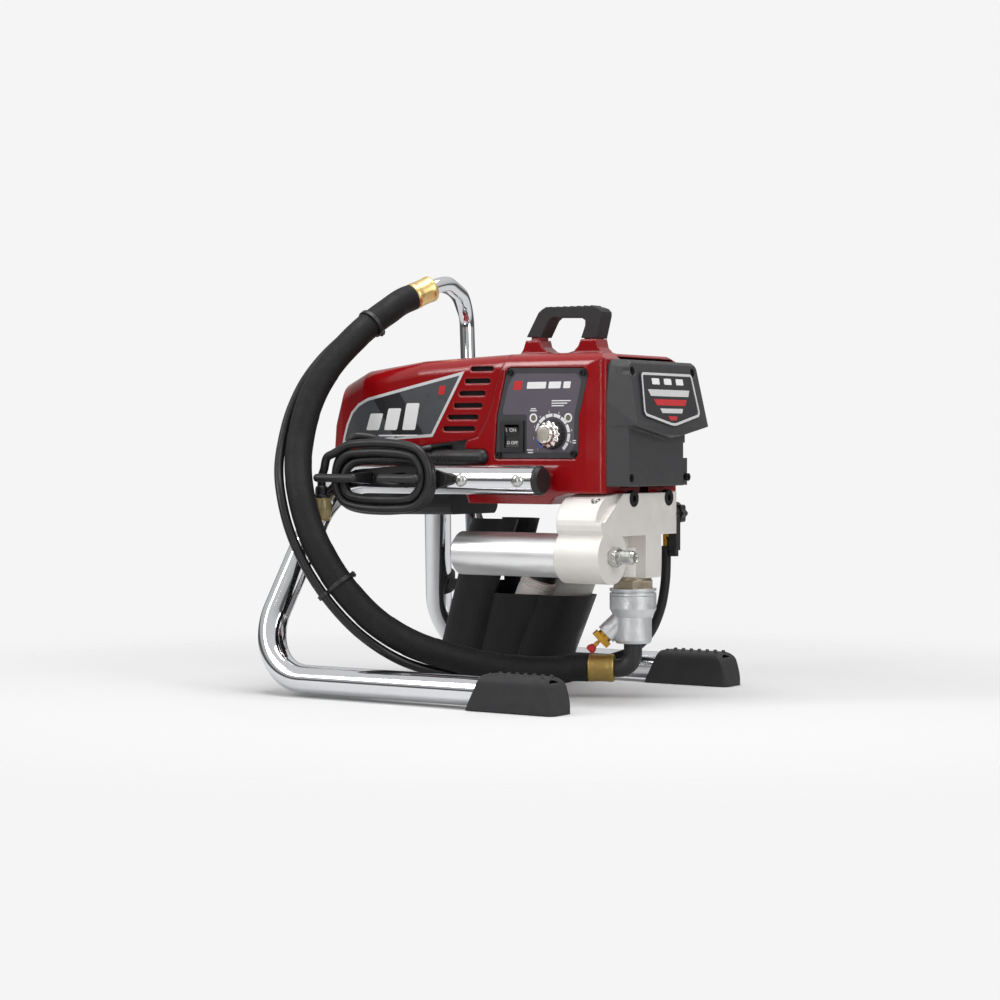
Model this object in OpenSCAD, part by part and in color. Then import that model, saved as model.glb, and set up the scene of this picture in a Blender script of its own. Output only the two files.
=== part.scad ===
// Skid-mounted electric airless paint sprayer.
// +X is the pump end, -Y is the side with the controls, +Z is up.
// The origin is on the floor, below the middle of the machine.

/* [Frame] */
// Outside diameter of the bent frame tube
tube_d = 28.6; // [22:0.1:34]
// Wall of the frame tube
tube_wall = 1.8; // [1.2:0.1:3]
// Distance between the axes of the two floor tubes
stance_w = 330; // [300:1:360]
// Clearance between the gear housing and the rail tubes
rail_clear = 5.2; // [4.2:0.1:8.7]
// Height of the rail axes above the floor
rail_z = 214.5; // [211:0.5:218]
// Place of the lower frame corner behind the origin
corner_x = 198.3; // [194:0.1:204]
// How far the uprights lean forward over their height
lean_x = 49.5; // [40:0.5:56]
// Bend radius of the frame tubes, on the axis
bend_r = 58; // [46:1:66]
// Front end of the top rail tubes
rail_front_x = 101; // [96:0.5:104]
// Length of the plug that closes a rail, outside the tube
plug_l = 5.5; // [4:0.5:9]
// Diameter of the rail screws' shanks
rail_screw_d = 8; // [6:0.5:9]
// Place of the rear rail screw
screw_rear_x = 20; // [14:0.5:26]
// Distance between the two rail screws
screw_pitch = 66; // [58:0.5:70]

/* [Feet] */
// Length of a foot at the floor
foot_l = 98; // [85:1:110]
// Width of a foot
foot_w = 35; // [33:0.5:44]
// Height of a foot
foot_h = 34; // [33:0.5:44]
// Front end of the feet
foot_front_x = 176; // [165:1:185]
// Rubber under the floor tube
sole = 2.4; // [2:0.1:5]

/* [Gear housing] */
// Half width of the housing at the control panel
case_half_w = 72; // [70:0.5:74]
// Height of the housing's flat top
case_top_z = 338; // [335:0.5:342]
// Wall of the casting
case_wall = 4; // [3:0.25:5]
// Width of the carrying handle
handle_w = 20; // [18:0.5:26]
// Height of the top of the handle grip
handle_top_z = 386; // [383:0.5:390]
// Thickness of the rubber grip round the handle
grip_wall = 2.5; // [2:0.25:3]

/* [Motor] */
// Diameter of the motor can
motor_d = 92; // [84:1:94]
// Length of the motor can
motor_l = 112; // [100:1:116]
// Height of the motor axis
motor_z = 268; // [266:0.5:270]
// Diameter of the armature shaft
shaft_d = 12; // [10:0.5:13]
// Wall of the plastic shroud
shroud_wall = 3; // [2:0.25:3.5]

/* [Gear train] */
// Teeth of the pinion on the armature
pinion_teeth = 10;
// Teeth of the large reduction gear
reduction_teeth = 44;
// Teeth of the small gear on the reduction shaft
layshaft_teeth = 13;
// Teeth of the crank gear
crank_teeth = 47;
// Module of the first gear pair
module_one = 1.25; // [1.2:0.05:1.25]
// Module of the second gear pair
module_two = 1.5; // [1.45:0.05:1.5]
// Play at the pitch line of a gear pair
backlash = 0.3; // [0.2:0.05:0.5]
// Stroke of the pump piston
stroke = 24; // [18:1:26]

/* [Pump] */
// Place of the pump axis, forward of the origin
pump_x = 150; // [148:0.5:152]
// Place of the pump axis, towards the far side
pump_y = 4; // [2:0.5:6]
// Diameter of the piston rod
rod_d = 14; // [12:0.5:16]
// Front face of the pump block
block_front_x = 172.5; // [171:0.5:176]
// Depth of the pump block, front to rear
block_depth = 50; // [46:1:52]
// Height of the top of the pump block
block_top_z = 202; // [201:0.5:202]
// Height of the bottom of the pump block
block_bottom_z = 119; // [118:0.5:121]
// Diameter of the pump's clamp ring
ring_d = 46; // [42:0.5:50]
// Across flats of the cylinder nut
nut_af = 38; // [34:0.5:40]

/* [Filter] */
// Outside diameter of the filter bowl
bowl_d = 43; // [40:0.5:46]
// Length of the filter bowl outside the block
bowl_l = 127; // [110:1:130]
// Place of the filter axis, towards the control side
bowl_y = 72; // [70:0.5:74]
// Height of the filter axis
bowl_z = 142; // [140:0.5:144]
// Diameter of the boss that holds the bowl
boss_d = 53; // [50:0.5:56]

/* [Outlet] */
// Front end of the outlet fitting
outlet_front_x = 198.5; // [190:0.5:205]
// Diameter of the outlet thread, 1/4 NPSM
outlet_thread_d = 13.5; // [12:0.1:15]
// Bore of the outlet fitting
outlet_bore_d = 5.6; // [4:0.1:7]
// Across flats of the outlet fitting
outlet_af = 17; // [15:0.5:19]

/* [Suction set] */
// Outside diameter of the suction hose
hose_d = 27.5; // [25:0.5:28]
// Outside diameter of the siphon tube
siphon_d = 16; // [14:0.5:18]
// Wall of the siphon tube
siphon_wall = 1.5; // [1:0.1:2]
// Bend radius at the top of the siphon tube
siphon_bend_r = 34; // [30:1:36]
// Outside diameter of the return hose
return_d = 9.5; // [8:0.5:9.5]

/* [Drip cup] */
// Wall of the drip cup
cup_wall = 2.5; // [2:0.25:3]
// Height of the rim at the front of the cup
cup_rim_z = 92; // [80:1:100]
// Height of the tall back of the cup
cup_back_z = 171; // [160:1:174]

/* [Power cord] */
// Diameter of the power cord
cord_d = 8.5; // [7.5:0.25:8.75]

/* [Hidden] */

$fn = 64;
seat = 0.3;          // gap between curved faces that seat on each other
slide_gap = 0.05;    // radial gap of a running fit
e = 0.01;

// ---- frame positions ----
tube_r = tube_d / 2;
floor_y = stance_w / 2;
floor_z = sole + tube_r;
rail_y = case_half_w + rail_clear + tube_r;
upright_x = -corner_x + lean_x;
leg_path = [[foot_front_x - 10, -floor_y, floor_z], [-corner_x, -floor_y, floor_z],
    [upright_x, -rail_y, rail_z], [rail_front_x, -rail_y, rail_z]];
rail_in_y = rail_y - tube_r;
rail_out_y = rail_y + tube_r;
screw_places = [screw_rear_x, screw_rear_x + screw_pitch];
screw_head_d = 13;
screw_head_h = 4;

// ---- housing positions ----
case_front_x = 162;
case_bottom_z = block_top_z;
rail_casting_z = 191;
panel_t = 2.5;
panel_y = -case_half_w + 1;
handle_half = handle_w / 2;
motor_y = 0;
motor_front_x = 50;
motor_rear_x = motor_front_x - motor_l;
cover_half_w = 67;
cover_front_x = 187;
cover_bottom_z = 209;
cover_top_z = 330;
badge_tilt = 12.5;

// ---- gear train positions ----
crank_y = pump_y;
crank_z = 247;
gear_one_c = (pinion_teeth + reduction_teeth) / 2 * module_one;
gear_two_c = (layshaft_teeth + crank_teeth) / 2 * module_two;
axis_gap = norm([crank_y - motor_y, crank_z - motor_z]);
lay_a = (gear_one_c * gear_one_c - gear_two_c * gear_two_c + axis_gap * axis_gap) / 2 / axis_gap;
lay_h = sqrt(gear_one_c * gear_one_c - lay_a * lay_a);
axis_dir = [crank_y - motor_y, crank_z - motor_z] / axis_gap;
lay_y = motor_y + lay_a * axis_dir[0] - lay_h * axis_dir[1];
lay_z = motor_z + lay_a * axis_dir[1] + lay_h * axis_dir[0];
web_x = 50;
web_t = 10;
bearing_w = 5;
motor_bearing_d = 24;
lay_bearing_d = 20;
crank_bearing_d = 24;
crank_shaft_d = 15;
lay_shaft_d = 8;
gear_one_x = 63;
gear_one_w = 12;
gear_two_x = 79;
gear_two_w = 16;
crank_pin_r = stroke / 2;
crank_pin_d = 14;
yoke_t = 14;
yoke_w = 46;
yoke_h = 30;
crank_cheek_x = gear_two_x + gear_two_w;
yoke_rear_x = pump_x - yoke_t / 2;
crank_pin_end = yoke_rear_x - seat;

// ---- pump positions ----
block_rear_x = block_front_x - block_depth;
nut_top_z = block_bottom_z - 3;
nut_h = 8;
ring_top_z = nut_top_z - nut_h;
ring_h = 7;
inlet_top_z = ring_top_z - ring_h;
inlet_flange_h = 13;
inlet_bottom_z = 54;
inlet_barrel_d = 37;
pump_bore_d = 20;
branch_az = 214;
branch_tilt = 44;
branch_d = 20.5;
branch_root = [pump_x, pump_y, 88];
branch_dir = [cos(branch_az) * cos(branch_tilt), sin(branch_az) * cos(branch_tilt), -sin(branch_tilt)];
branch_len = 37;
elbow_d = 18;
elbow_az = 205;
elbow_bend_r = 14;
elbow_bore_r = 5.5;
elbow_z = 29;
elbow_dir = [cos(elbow_az), sin(elbow_az), 0];
elbow_end = [pump_x, pump_y, elbow_z] + elbow_dir * 18;
ferrule_l = 26;
hose_r = hose_d / 2;
ferrule_end = elbow_end + elbow_dir * ferrule_l;

// ---- suction hose route, from the lower ferrule to the upper one ----
suction_route = [[86, -29, 26.5], [62, -44, 26.5], [37, -62, 29], [13, -80, 35], [-9, -100, 43],
    [-28, -116, 52], [-46, -130, 64], [-68, -142, 83], [-92, -153, 112], [-112, -159, 143],
    [-129, -158, 173], [-143, -152, 204], [-153, -143, 228], [-159, -132, 252],
    [-161, -120, 280], [-158, -106, 308], [-152, -88, 333], [-144, -67, 355],
    [-136, -44, 374], [-128, -22, 389]];
upper_ferrule = [-118, 3, 403];
upper_dir = unit([10, 24, 11]);
upper_end = upper_ferrule + upper_dir * ferrule_l;
hose_start = ferrule_end;
suction_points = concat([ferrule_end, ferrule_end + elbow_dir * hose_d * 0.6], suction_route,
    [upper_ferrule - upper_dir * hose_d * 0.5, upper_ferrule]);

// ---- siphon tube ----
cup_y = rail_y + 13.5;
siphon_turn = upper_end + upper_dir * 19;
siphon_knee = [-134, cup_y + 20, 407.5];
siphon_foot = [-109, cup_y + 3, 44];

// ---- filter and outlet ----
bowl_rear_x = block_rear_x - bowl_l;
outlet_y = -bowl_y;
outlet_z = bowl_z;

// ---- power cord ----
cord_r = cord_d / 2;
coil_c = [-64, 0, 216];
coil_layers_y = -rail_out_y - 6 - cord_r;
coil_big_r = 36;
coil_half_straight = 27.5;
coil_turns = 4;
coil_start_a = 130;
coil_rings = 24;
coil_pitch = cord_d + 0.7;

function unit(v) = v / norm(v);
function bend_angle(a, b) = acos(unit(a) * unit(b));

// A local frame with its axes along x, y and z
module place(p, x, y, z) {
    multmatrix([[x[0], y[0], z[0], p[0]], [x[1], y[1], z[1], p[1]], [x[2], y[2], z[2], p[2]], [0, 0, 0, 1]])
        children();
}

// Puts children at p with their Z axis along d
module aim(p, d) {
    z = unit(d);
    side = abs(z[2]) > 0.9 ? [1, 0, 0] : [0, 0, 1];
    x = unit(cross(side, z));
    place(p, x, cross(z, x), z) children();
}

module rod(a, b, r) {
    aim(a, b - a) cylinder(r = r, h = norm(b - a));
}

// A tube along straight legs joined by circular bends, solid where bore is 0.
// A bend's skin lies bend_ease inside the legs' and runs bend_lap degrees into them.
bend_ease = 0.02;
bend_lap = 0.4;
module pipe(points, radius, r, bore = 0) {
    last = len(points) - 1;
    cuts = [for (i = [0 : last]) (i == 0 || i == last) ? 0 :
        radius * tan(bend_angle(points[i] - points[i - 1], points[i + 1] - points[i]) / 2)];
    for (i = [0 : last - 1]) {
        d = unit(points[i + 1] - points[i]);
        aim(points[i] + d * cuts[i], d) linear_extrude(norm(points[i + 1] - points[i]) - cuts[i] - cuts[i + 1])
            pipe_section(r, bore);
    }
    for (i = [1 : last - 1]) {
        d1 = unit(points[i] - points[i - 1]);
        d2 = unit(points[i + 1] - points[i]);
        n = unit(d2 - d1 * (d1 * d2));
        centre = points[i] - d1 * cuts[i] + n * radius;
        place(centre, -n, d1, cross(-n, d1)) rotate(-bend_lap)
            rotate_extrude(angle = bend_angle(d1, d2) + 2 * bend_lap) translate([radius, 0])
                pipe_section(r - bend_ease, bore > 0 ? bore + bend_ease : 0);
    }
}

module pipe_section(r, bore) {
    difference() {
        circle(r = r);
        if (bore > 0) circle(r = bore);
    }
}

// Directions along a route, at each of its points
function route_dirs(p) = [for (i = [0 : len(p) - 1])
    unit(p[min(i + 1, len(p) - 1)] - p[max(i - 1, 0)])];

// One side direction per point, carried along so that it never twists
function route_sides(t, start) = [for (i = 0, s = unit(start - t[0] * (start * t[0]));
    i < len(t);
    i = i + 1, s = i < len(t) ? unit(s - t[i] * (s * t[i])) : s) s];

// A cord: one closed tube swept through the points
module cord(points, r, sides, start_side) {
    t = route_dirs(points);
    s = route_sides(t, start_side);
    n = len(points);
    rings = [for (i = [0 : n - 1]) for (k = [0 : sides - 1])
        points[i] + r * (s[i] * cos(k * 360 / sides) + cross(t[i], s[i]) * sin(k * 360 / sides))];
    walls = [for (i = [0 : n - 2]) for (k = [0 : sides - 1])
        let (a = i * sides + k, b = i * sides + (k + 1) % sides)
        each [[a, a + sides, b], [b, a + sides, b + sides]]];
    ends = [for (k = [1 : sides - 2]) each [[0, k, k + 1],
        [(n - 1) * sides, (n - 1) * sides + k + 1, (n - 1) * sides + k]]];
    polyhedron(points = rings, faces = concat(walls, ends), convexity = 10);
}

// A rounded rectangle, centred
module round_rect(w, h, r) {
    hull() for (x = [-1, 1], y = [-1, 1]) translate([x * (w / 2 - r), y * (h / 2 - r)]) circle(r = r, $fn = 32);
}

// Extrudes a profile drawn in X and Z across Y
module across(y0, y1) {
    translate([0, y1, 0]) rotate([90, 0, 0]) linear_extrude(y1 - y0) children();
}

// Extrudes a profile drawn in Y and Z along X
module along(x0, x1) {
    translate([x0, 0, 0]) rotate([90, 0, 90]) linear_extrude(x1 - x0) children();
}

// ---- frame ----
module leg() {
    difference() {
        pipe(leg_path, bend_r, tube_r, tube_r - tube_wall);
        for (x = screw_places) translate([x, -rail_in_y + 5, rail_z])
            rotate([90, 0, 0]) cylinder(d = rail_screw_d + 2 * slide_gap, h = tube_d + 10);
    }
}

module right_leg() {
    color("silver") leg();
}

module left_leg() {
    color("silver") mirror([0, 1, 0]) leg();
}

module foot() {
    rear = foot_front_x - foot_l;
    slope = 17;
    corner = 15;
    nose_x = foot_front_x - 6;
    difference() {
        union() {
            intersection() {
                across(-floor_y - foot_w / 2, -floor_y + foot_w / 2) polygon(concat(
                    [[rear, 0], [foot_front_x, 0], [foot_front_x, 3]],
                    [for (a = [10 : 16 : 90]) [nose_x - corner + corner * cos(a), foot_h - corner + corner * sin(a)]],
                    [[rear + slope, foot_h]]));
                along(rear - 1, foot_front_x + 1) translate([-floor_y, 0])
                    polygon(concat([[-foot_w / 2, 0], [foot_w / 2, 0]],
                        [for (a = [0 : 18 : 90]) [foot_w / 2 - 8 + 8 * cos(a), foot_h - 8 + 8 * sin(a)]],
                        [for (a = [90 : 18 : 180]) [-foot_w / 2 + 8 + 8 * cos(a), foot_h - 8 + 8 * sin(a)]]));
                translate([0, 0, -1]) linear_extrude(foot_h + 2) translate([foot_front_x - foot_l / 2, -floor_y])
                    polygon(concat([[-foot_l / 2, -foot_w / 2]],
                        [for (a = [-90 : 18 : 0]) [foot_l / 2 - 7 + 7 * cos(a), -foot_w / 2 + 7 + 7 * sin(a)]],
                        [for (a = [0 : 18 : 90]) [foot_l / 2 - 7 + 7 * cos(a), foot_w / 2 - 7 + 7 * sin(a)]],
                        [[-foot_l / 2, foot_w / 2]]));
            }
            for (i = [0 : 6], s = [-1, 1])
                translate([rear + slope + 6 + i * (foot_l - slope - 24) / 6, -floor_y + s * (foot_w / 2 - 9), foot_h - 0.5])
                    cylinder(d1 = 5, d2 = 3, h = 2);
        }
        translate([rear - 1, -floor_y, floor_z]) rotate([0, 90, 0])
            cylinder(r = tube_r + seat, h = foot_l - 9 + seat);
    }
}

module right_foot() {
    color([0.17, 0.17, 0.18]) foot();
}

module left_foot() {
    color([0.17, 0.17, 0.18]) mirror([0, 1, 0]) foot();
}

module rail_plugs() {
    color([0.08, 0.08, 0.08]) for (s = [0, 1]) mirror([0, s, 0])
        translate([rail_front_x + seat, -rail_y, rail_z]) rotate([0, 90, 0]) {
            cylinder(r = tube_r, h = plug_l / 2);
            translate([0, 0, plug_l / 2]) cylinder(r1 = tube_r, r2 = tube_r - 2, h = plug_l / 2);
            translate([0, 0, -5]) cylinder(r = tube_r - tube_wall - seat, h = 5 + e);
        }
}

module rail_screws() {
    shank_end = -case_half_w + 12;
    color("gainsboro") for (s = [0, 1], x = screw_places) mirror([0, s, 0])
        translate([x, -rail_out_y - seat, rail_z]) rotate([90, 0, 0]) difference() {
            union() {
                rotate_extrude() polygon(concat([[0, 0], [screw_head_d / 2, 0]],
                    [for (a = [15 : 15 : 90]) [screw_head_d / 2 * cos(a), screw_head_h * sin(a)]]));
                translate([0, 0, -(rail_out_y + seat + shank_end)])
                    cylinder(d = rail_screw_d, h = rail_out_y + seat + shank_end + e);
            }
            translate([0, 0, screw_head_h - 2.5]) cylinder(d = 4.6, h = 5, $fn = 6);
        }
}

// ---- cord wrap: an arm behind the coil with a horn at each end ----
wrap_front_x = screw_rear_x - screw_head_d / 2 - 1;
wrap_rear_x = -106;
wrap_t = 5;
wrap_post_y = 26;
horn_r = 4.2;
horn_z = coil_c[2];
horn_y = -(rail_out_y + seat + wrap_t + wrap_post_y + horn_r - 1);
module cord_wrap() {
    inner_y = -rail_out_y - seat;
    color([0.09, 0.09, 0.09]) {
        difference() {
            across(inner_y - wrap_t, inner_y) polygon([[wrap_front_x, horn_z + 3], [wrap_front_x, horn_z - 4],
                [wrap_front_x - 22, horn_z - 11], [-30, horn_z - 9], [-44, horn_z - 9], [wrap_rear_x, horn_z - 5],
                [wrap_rear_x - 6, horn_z], [wrap_rear_x, horn_z + 8], [-44, horn_z + 13], [-30, horn_z + 13],
                [wrap_front_x - 22, horn_z + 9]]);
            for (x = [-54, -84]) translate([x, inner_y + 1, horn_z + 2]) rotate([90, 0, 0]) cylinder(d = 5, h = wrap_t + 2);
        }
        for (x = [-50, -88]) hull() {
            translate([x - 5, inner_y - wrap_t, horn_z - 6]) cube([10, 1, 12]);
            translate([x - 4, horn_y, horn_z - 4]) cube([8, 1, 8]);
        }
        for (ends = [[-10, -52], [-130.5, -86]])
            hull() for (x = ends) translate([x, horn_y, horn_z]) sphere(r = horn_r, $fn = 20);
        translate([wrap_front_x - 12, inner_y, horn_z]) rotate([90, 0, 0]) cylinder(d = 12, h = wrap_t + 1);
    }
}

// ---- housing ----
// Rear edge of the red housing where the shroud meets it
seam = [[51, case_top_z + 2], [34, 289], [27, 272], [17, 257], [5, 254]];

module case_side() {
    polygon(concat([[2, rail_casting_z], [98, rail_casting_z], [105, case_bottom_z - 4], [block_rear_x - 1, case_bottom_z]],
        [[case_front_x, case_bottom_z], [case_front_x, case_top_z - 7], [case_front_x - 8, case_top_z - 1]],
        [[case_front_x - 30, case_top_z]], seam, [[2, 250]]));
}

module case_section() {
    top_r = 16;
    polygon(concat([[case_half_w - 6, rail_casting_z], [case_half_w, rail_casting_z + 12]],
        [for (a = [0 : 15 : 90]) [case_half_w - top_r + top_r * cos(a), case_top_z - top_r + top_r * sin(a)]],
        [for (a = [90 : 15 : 180]) [-case_half_w + top_r + top_r * cos(a), case_top_z - top_r + top_r * sin(a)]],
        [[-case_half_w, rail_casting_z + 12], [-case_half_w + 6, rail_casting_z]]));
}

module case_plan() {
    polygon(concat([[0, -case_half_w], [142, -case_half_w], [case_front_x - 4, -cover_half_w - 2], [case_front_x, -cover_half_w]],
        [[case_front_x, cover_half_w], [case_front_x - 4, cover_half_w + 2], [142, case_half_w], [0, case_half_w]]));
}

// Outline of the rubber grip, seen from the side
grip_outline = [[34, 357], [38, 364], [48, handle_top_z - 5], [52, handle_top_z - 2], [57, handle_top_z + 0.5], [112, handle_top_z - 0.5],
    [118, handle_top_z - 2.5], [121.5, handle_top_z - 6], [121.5, handle_top_z - 10], [116, 354]];
finger_hole = [[50, 350], [51, 357], [60, handle_top_z - 13], [64, handle_top_z - 10], [98, handle_top_z - 11],
    [103, handle_top_z - 14], [103, handle_top_z - 19], [98, 354], [97, 350]];
throat = [[98, 354], [95, 347], [90, 342], [82, 340], [68, 340], [58, 342], [51.5, 347], [50, 353], [51, 357]];

// The bar inside the grip
module grip_core(gap) {
    across(-handle_half + grip_wall - gap, handle_half - grip_wall + gap) difference() {
        polygon([[34 + grip_wall - gap, 350], [38 + grip_wall - gap, 364], [50 + grip_wall - gap, handle_top_z - 7],
            [56, handle_top_z - grip_wall + gap], [113, handle_top_z - grip_wall - 1 + gap],
            [121.5 - grip_wall + gap, handle_top_z - 8], [115.5 - grip_wall + gap, 350]]);
        polygon([[51 - grip_wall + gap, 340], [51 - grip_wall + gap, 356], [58 - grip_wall + gap, handle_top_z - 12],
            [62, handle_top_z - 10 + grip_wall - gap], [102, handle_top_z - 11 + grip_wall - gap], [103 + grip_wall - gap, handle_top_z - 12],
            [98 + grip_wall - gap, 354], [98 + grip_wall - gap, 340]]);
    }
}

// Red feet of the handle, wider where they grow out of the housing
module handle_foot() {
    grip_foot_z = 353.5;
    across(-handle_half, handle_half) difference() {
        polygon([[24, case_top_z - 2], [30, 345], [33, grip_foot_z], [116, grip_foot_z], [118, 345], [127, case_top_z - 2]]);
        polygon(throat);
        polygon([[49.8, 352], [49.8, 360], [98.5, 360], [98.5, 353]]);
    }
    across(-handle_half - 5, handle_half + 5) difference() {
        polygon([[22, case_top_z - 2], [27, case_top_z + 2], [122, case_top_z + 2], [128, case_top_z - 2]]);
        polygon(throat);
    }
}

panel_outline = [[39, 236], [38, 240], [40, 278], [49, 313], [51, 321], [55, 324], [139, 322.5], [143, 320], [144, 316],
    [138, 290], [134, 277], [133, 240], [130, 236]];
panel_screw_places = [[55, 319.5], [139, 318], [41.4, 239], [128.5, 240]];
panel_screw_d = 3.8;
knob_place = [104, 259];
rocker_place = [57.5, 257];
lamp_places = [[82, 275], [122, 275]];

module gear_housing() {
    color([0.74, 0.05, 0.08]) difference() {
        union() {
            intersection() {
                across(-case_half_w - 1, case_half_w + 1) case_side();
                along(-1, case_front_x + 1) case_section();
                linear_extrude(400) case_plan();
            }
            grip_core(0);
            handle_foot();
            for (s = [0, 1], x = screw_places) mirror([0, s, 0])
                translate([x, -case_half_w + 1, rail_z]) rotate([90, 0, 0]) cylinder(d = 20, h = rail_in_y - case_half_w + 1 - seat);
        }
        // control box, open to the control side
        intersection() {
            across(-case_half_w - 2, box_floor_y) offset(delta = -5) polygon(panel_outline);
            translate([0, -200, 0]) cube([300, 300, 400]);
        }
        across(-case_half_w - 2, panel_y + panel_t + seat) offset(delta = 0.8) polygon(panel_outline);
        for (p = panel_screw_places) translate([p[0], panel_y + panel_t - 1, p[1]]) rotate([-90, 0, 0])
            cylinder(d = panel_screw_d + 2 * slide_gap, h = 8);
        // gear chamber, open to the front
        translate([web_x + web_t, box_floor_y + 6, case_bottom_z + 6])
            cube([case_front_x - web_x, case_half_w - box_floor_y - 12, case_top_z - case_bottom_z - 6 - case_wall]);
        // motor space behind the web
        translate([-1, -case_half_w + 9, rail_casting_z + 10]) cube([web_x + 1, 2 * case_half_w - 18, case_top_z - rail_casting_z - 10 - 2 * case_wall]);
        // bearing seats and shaft holes in the web
        translate([web_x - 1, motor_y, motor_z]) rotate([0, 90, 0]) {
            cylinder(d = motor_bearing_d + 2 * slide_gap, h = bearing_w + 1);
            cylinder(d = shaft_d + 3, h = web_t + 2);
        }
        for (b = [[lay_y, lay_z, lay_bearing_d], [crank_y, crank_z, crank_bearing_d]])
            translate([web_x + web_t - bearing_w, b[0], b[1]]) rotate([0, 90, 0]) cylinder(d = b[2] + 2 * slide_gap, h = bearing_w + 1);
        // piston rod passes the floor
        translate([pump_x, pump_y, case_bottom_z - 2]) cylinder(d = 30, h = 10);
        // threaded holes of the rail screws
        for (s = [0, 1], x = screw_places) mirror([0, s, 0])
            translate([x, -rail_in_y - 1, rail_z]) rotate([-90, 0, 0]) cylinder(d = rail_screw_d + 2 * slide_gap, h = 24);
        // seat of the cord's strain relief
        translate([relief_seat_x, relief_y, relief_z]) rotate([0, -90, 0]) cylinder(d = relief_d + 2 * seat, h = relief_seat_x + 3);
        translate([relief_seat_x, relief_y, relief_z]) sphere(d = relief_d + 2 * seat);
        // holes of the pump bolts
        for (y = block_bolt_y) translate([block_bolt_x, y, case_bottom_z - 1]) cylinder(d = 8 + 2 * slide_gap, h = 9);
    }
}
block_bolt_x = block_rear_x + 14;
block_bolt_y = [-26, 34];

module handle_grip() {
    color([0.1, 0.1, 0.1]) difference() {
        union() {
            across(-handle_half, handle_half) difference() {
                polygon(grip_outline);
                polygon(finger_hole);
            }
            for (i = [0 : 6]) translate([61 + i * 8, 0, handle_top_z - 1.2]) rotate([90, 0, 0])
                cylinder(d = 4, h = handle_w - 4, center = true, $fn = 24);
        }
        grip_core(seat);
    }
}

// ---- shroud ----
module shroud_slab(x, half_w, z0, z1, r, t) {
    translate([x, 0, (z0 + z1) / 2]) rotate([90, 0, 90]) linear_extrude(t) round_rect(2 * half_w, z1 - z0, r);
}

module shroud_form(inset) {
    hull() {
        shroud_slab(52 - 0.5, case_half_w - 1 - inset, 236, case_top_z - inset, 14, 0.5);
        shroud_slab(-60, 67 - inset, 230 + inset, 333.5 - inset, 16, 0.5);
        shroud_slab(-133, 62 - inset, 224 + inset, 325 - inset, 18, 0.5);
    }
    hull() {
        shroud_slab(-133, 62 - inset, 224 + inset, 325 - inset, 18, 0.5);
        shroud_slab(-164 + inset, 56 - inset, 221 + inset, 313 - inset, 20, 0.5);
        shroud_slab(-180 + inset, 46 - inset, 224 + inset, 285 - inset, 20, 0.5);
        shroud_slab(-186 + inset, 40 - inset, 228 + inset, 262 - inset, 14, 0.5);
    }
}

vent_slots = [[6, 35, 324], [-1, 31, 312], [-8, 25, 300], [-15, 21, 288], [-22, 16, 276.5], [-28, 12, 265]];
slot_h = 4.5;

module motor_shroud() {
    color([0.74, 0.05, 0.08]) difference() {
        shroud_form(0);
        shroud_form(shroud_wall);
        // lower edge and the seam to the housing
        across(-100, 100) polygon(concat([[200, 0], [-200, 0], [-200, 221], [-187, 222], [-50, 248.5], [5, 254 + seat]],
            [for (i = [3 : -1 : 0]) seam[i] - [seat, 0]], [[200, 400]]));
        for (v = vent_slots, s = [-1, 1]) hull() for (x = [v[0] + slot_h / 2, v[1] - slot_h / 2])
            translate([x, s * (case_half_w + 4) - 14, v[2]]) rotate([-90, 0, 0]) cylinder(d = slot_h, h = 28, $fn = 16);
        // round the rear foot of the handle
        translate([20, -handle_half - 5 - seat, 325]) cube([60, handle_w + 10 + 2 * seat, 30]);
    }
}

pan_front_x = -37;
pan_half_w = 43;
module pan_form(inset) {
    intersection() {
        across(-pan_half_w + inset, pan_half_w - inset) polygon([[-168 + inset, 260], [-168 + inset, 212], [-160 + inset, 186 + inset],
            [-150 + inset, 177 + inset], [pan_front_x - inset, 178.5 + inset], [pan_front_x - inset, 260]]);
        along(-190, 0) polygon(concat([[-pan_half_w + inset, 260]],
            [for (a = [180 : 15 : 360]) [(a < 270 ? -1 : a > 270 ? 1 : 0) * (pan_half_w - 12) + (12 - inset) * cos(a),
                177 + 12 + (12 - inset) * sin(a)]], [[pan_half_w - inset, 260]]));
    }
}

module belly_pan() {
    wall = 2.5;
    color([0.1, 0.1, 0.1]) difference() {
        pan_form(0);
        pan_form(wall);
        // open towards the shroud
        across(-60, 60) polygon([[-200, 221], [-187, 221.5 - seat], [pan_front_x + 2, 249 - seat], [pan_front_x + 2, 300], [-200, 300]]);
        for (x = [-134 : 12 : -60]) translate([x, -30, 160]) cube([5, 60, 20]);
        translate([-100, motor_y, motor_z]) rotate([0, 90, 0]) cylinder(r = motor_d / 2 + seat, h = 80);
    }
}

// ---- controls ----
module control_panel() {
    color([0.2, 0.18, 0.2]) difference() {
        across(panel_y, panel_y + panel_t) polygon(panel_outline);
        for (p = panel_screw_places) translate([p[0], panel_y + 5, p[1]]) rotate([90, 0, 0]) cylinder(d = 4.2, h = 10);
        translate([knob_place[0], panel_y + 5, knob_place[1]]) rotate([90, 0, 0]) cylinder(d = 9, h = 10);
        for (p = lamp_places) translate([p[0], panel_y + 5, p[1]]) rotate([90, 0, 0]) cylinder(d = 5.2, h = 10);
        translate([rocker_place[0] - 11, panel_y - 5, rocker_place[1] - 13]) cube([22, 12, 26]);
    }
}

module case_screws() {
    color([0.06, 0.06, 0.06]) {
        panel_screws();
        cover_screws();
    }
}

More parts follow.
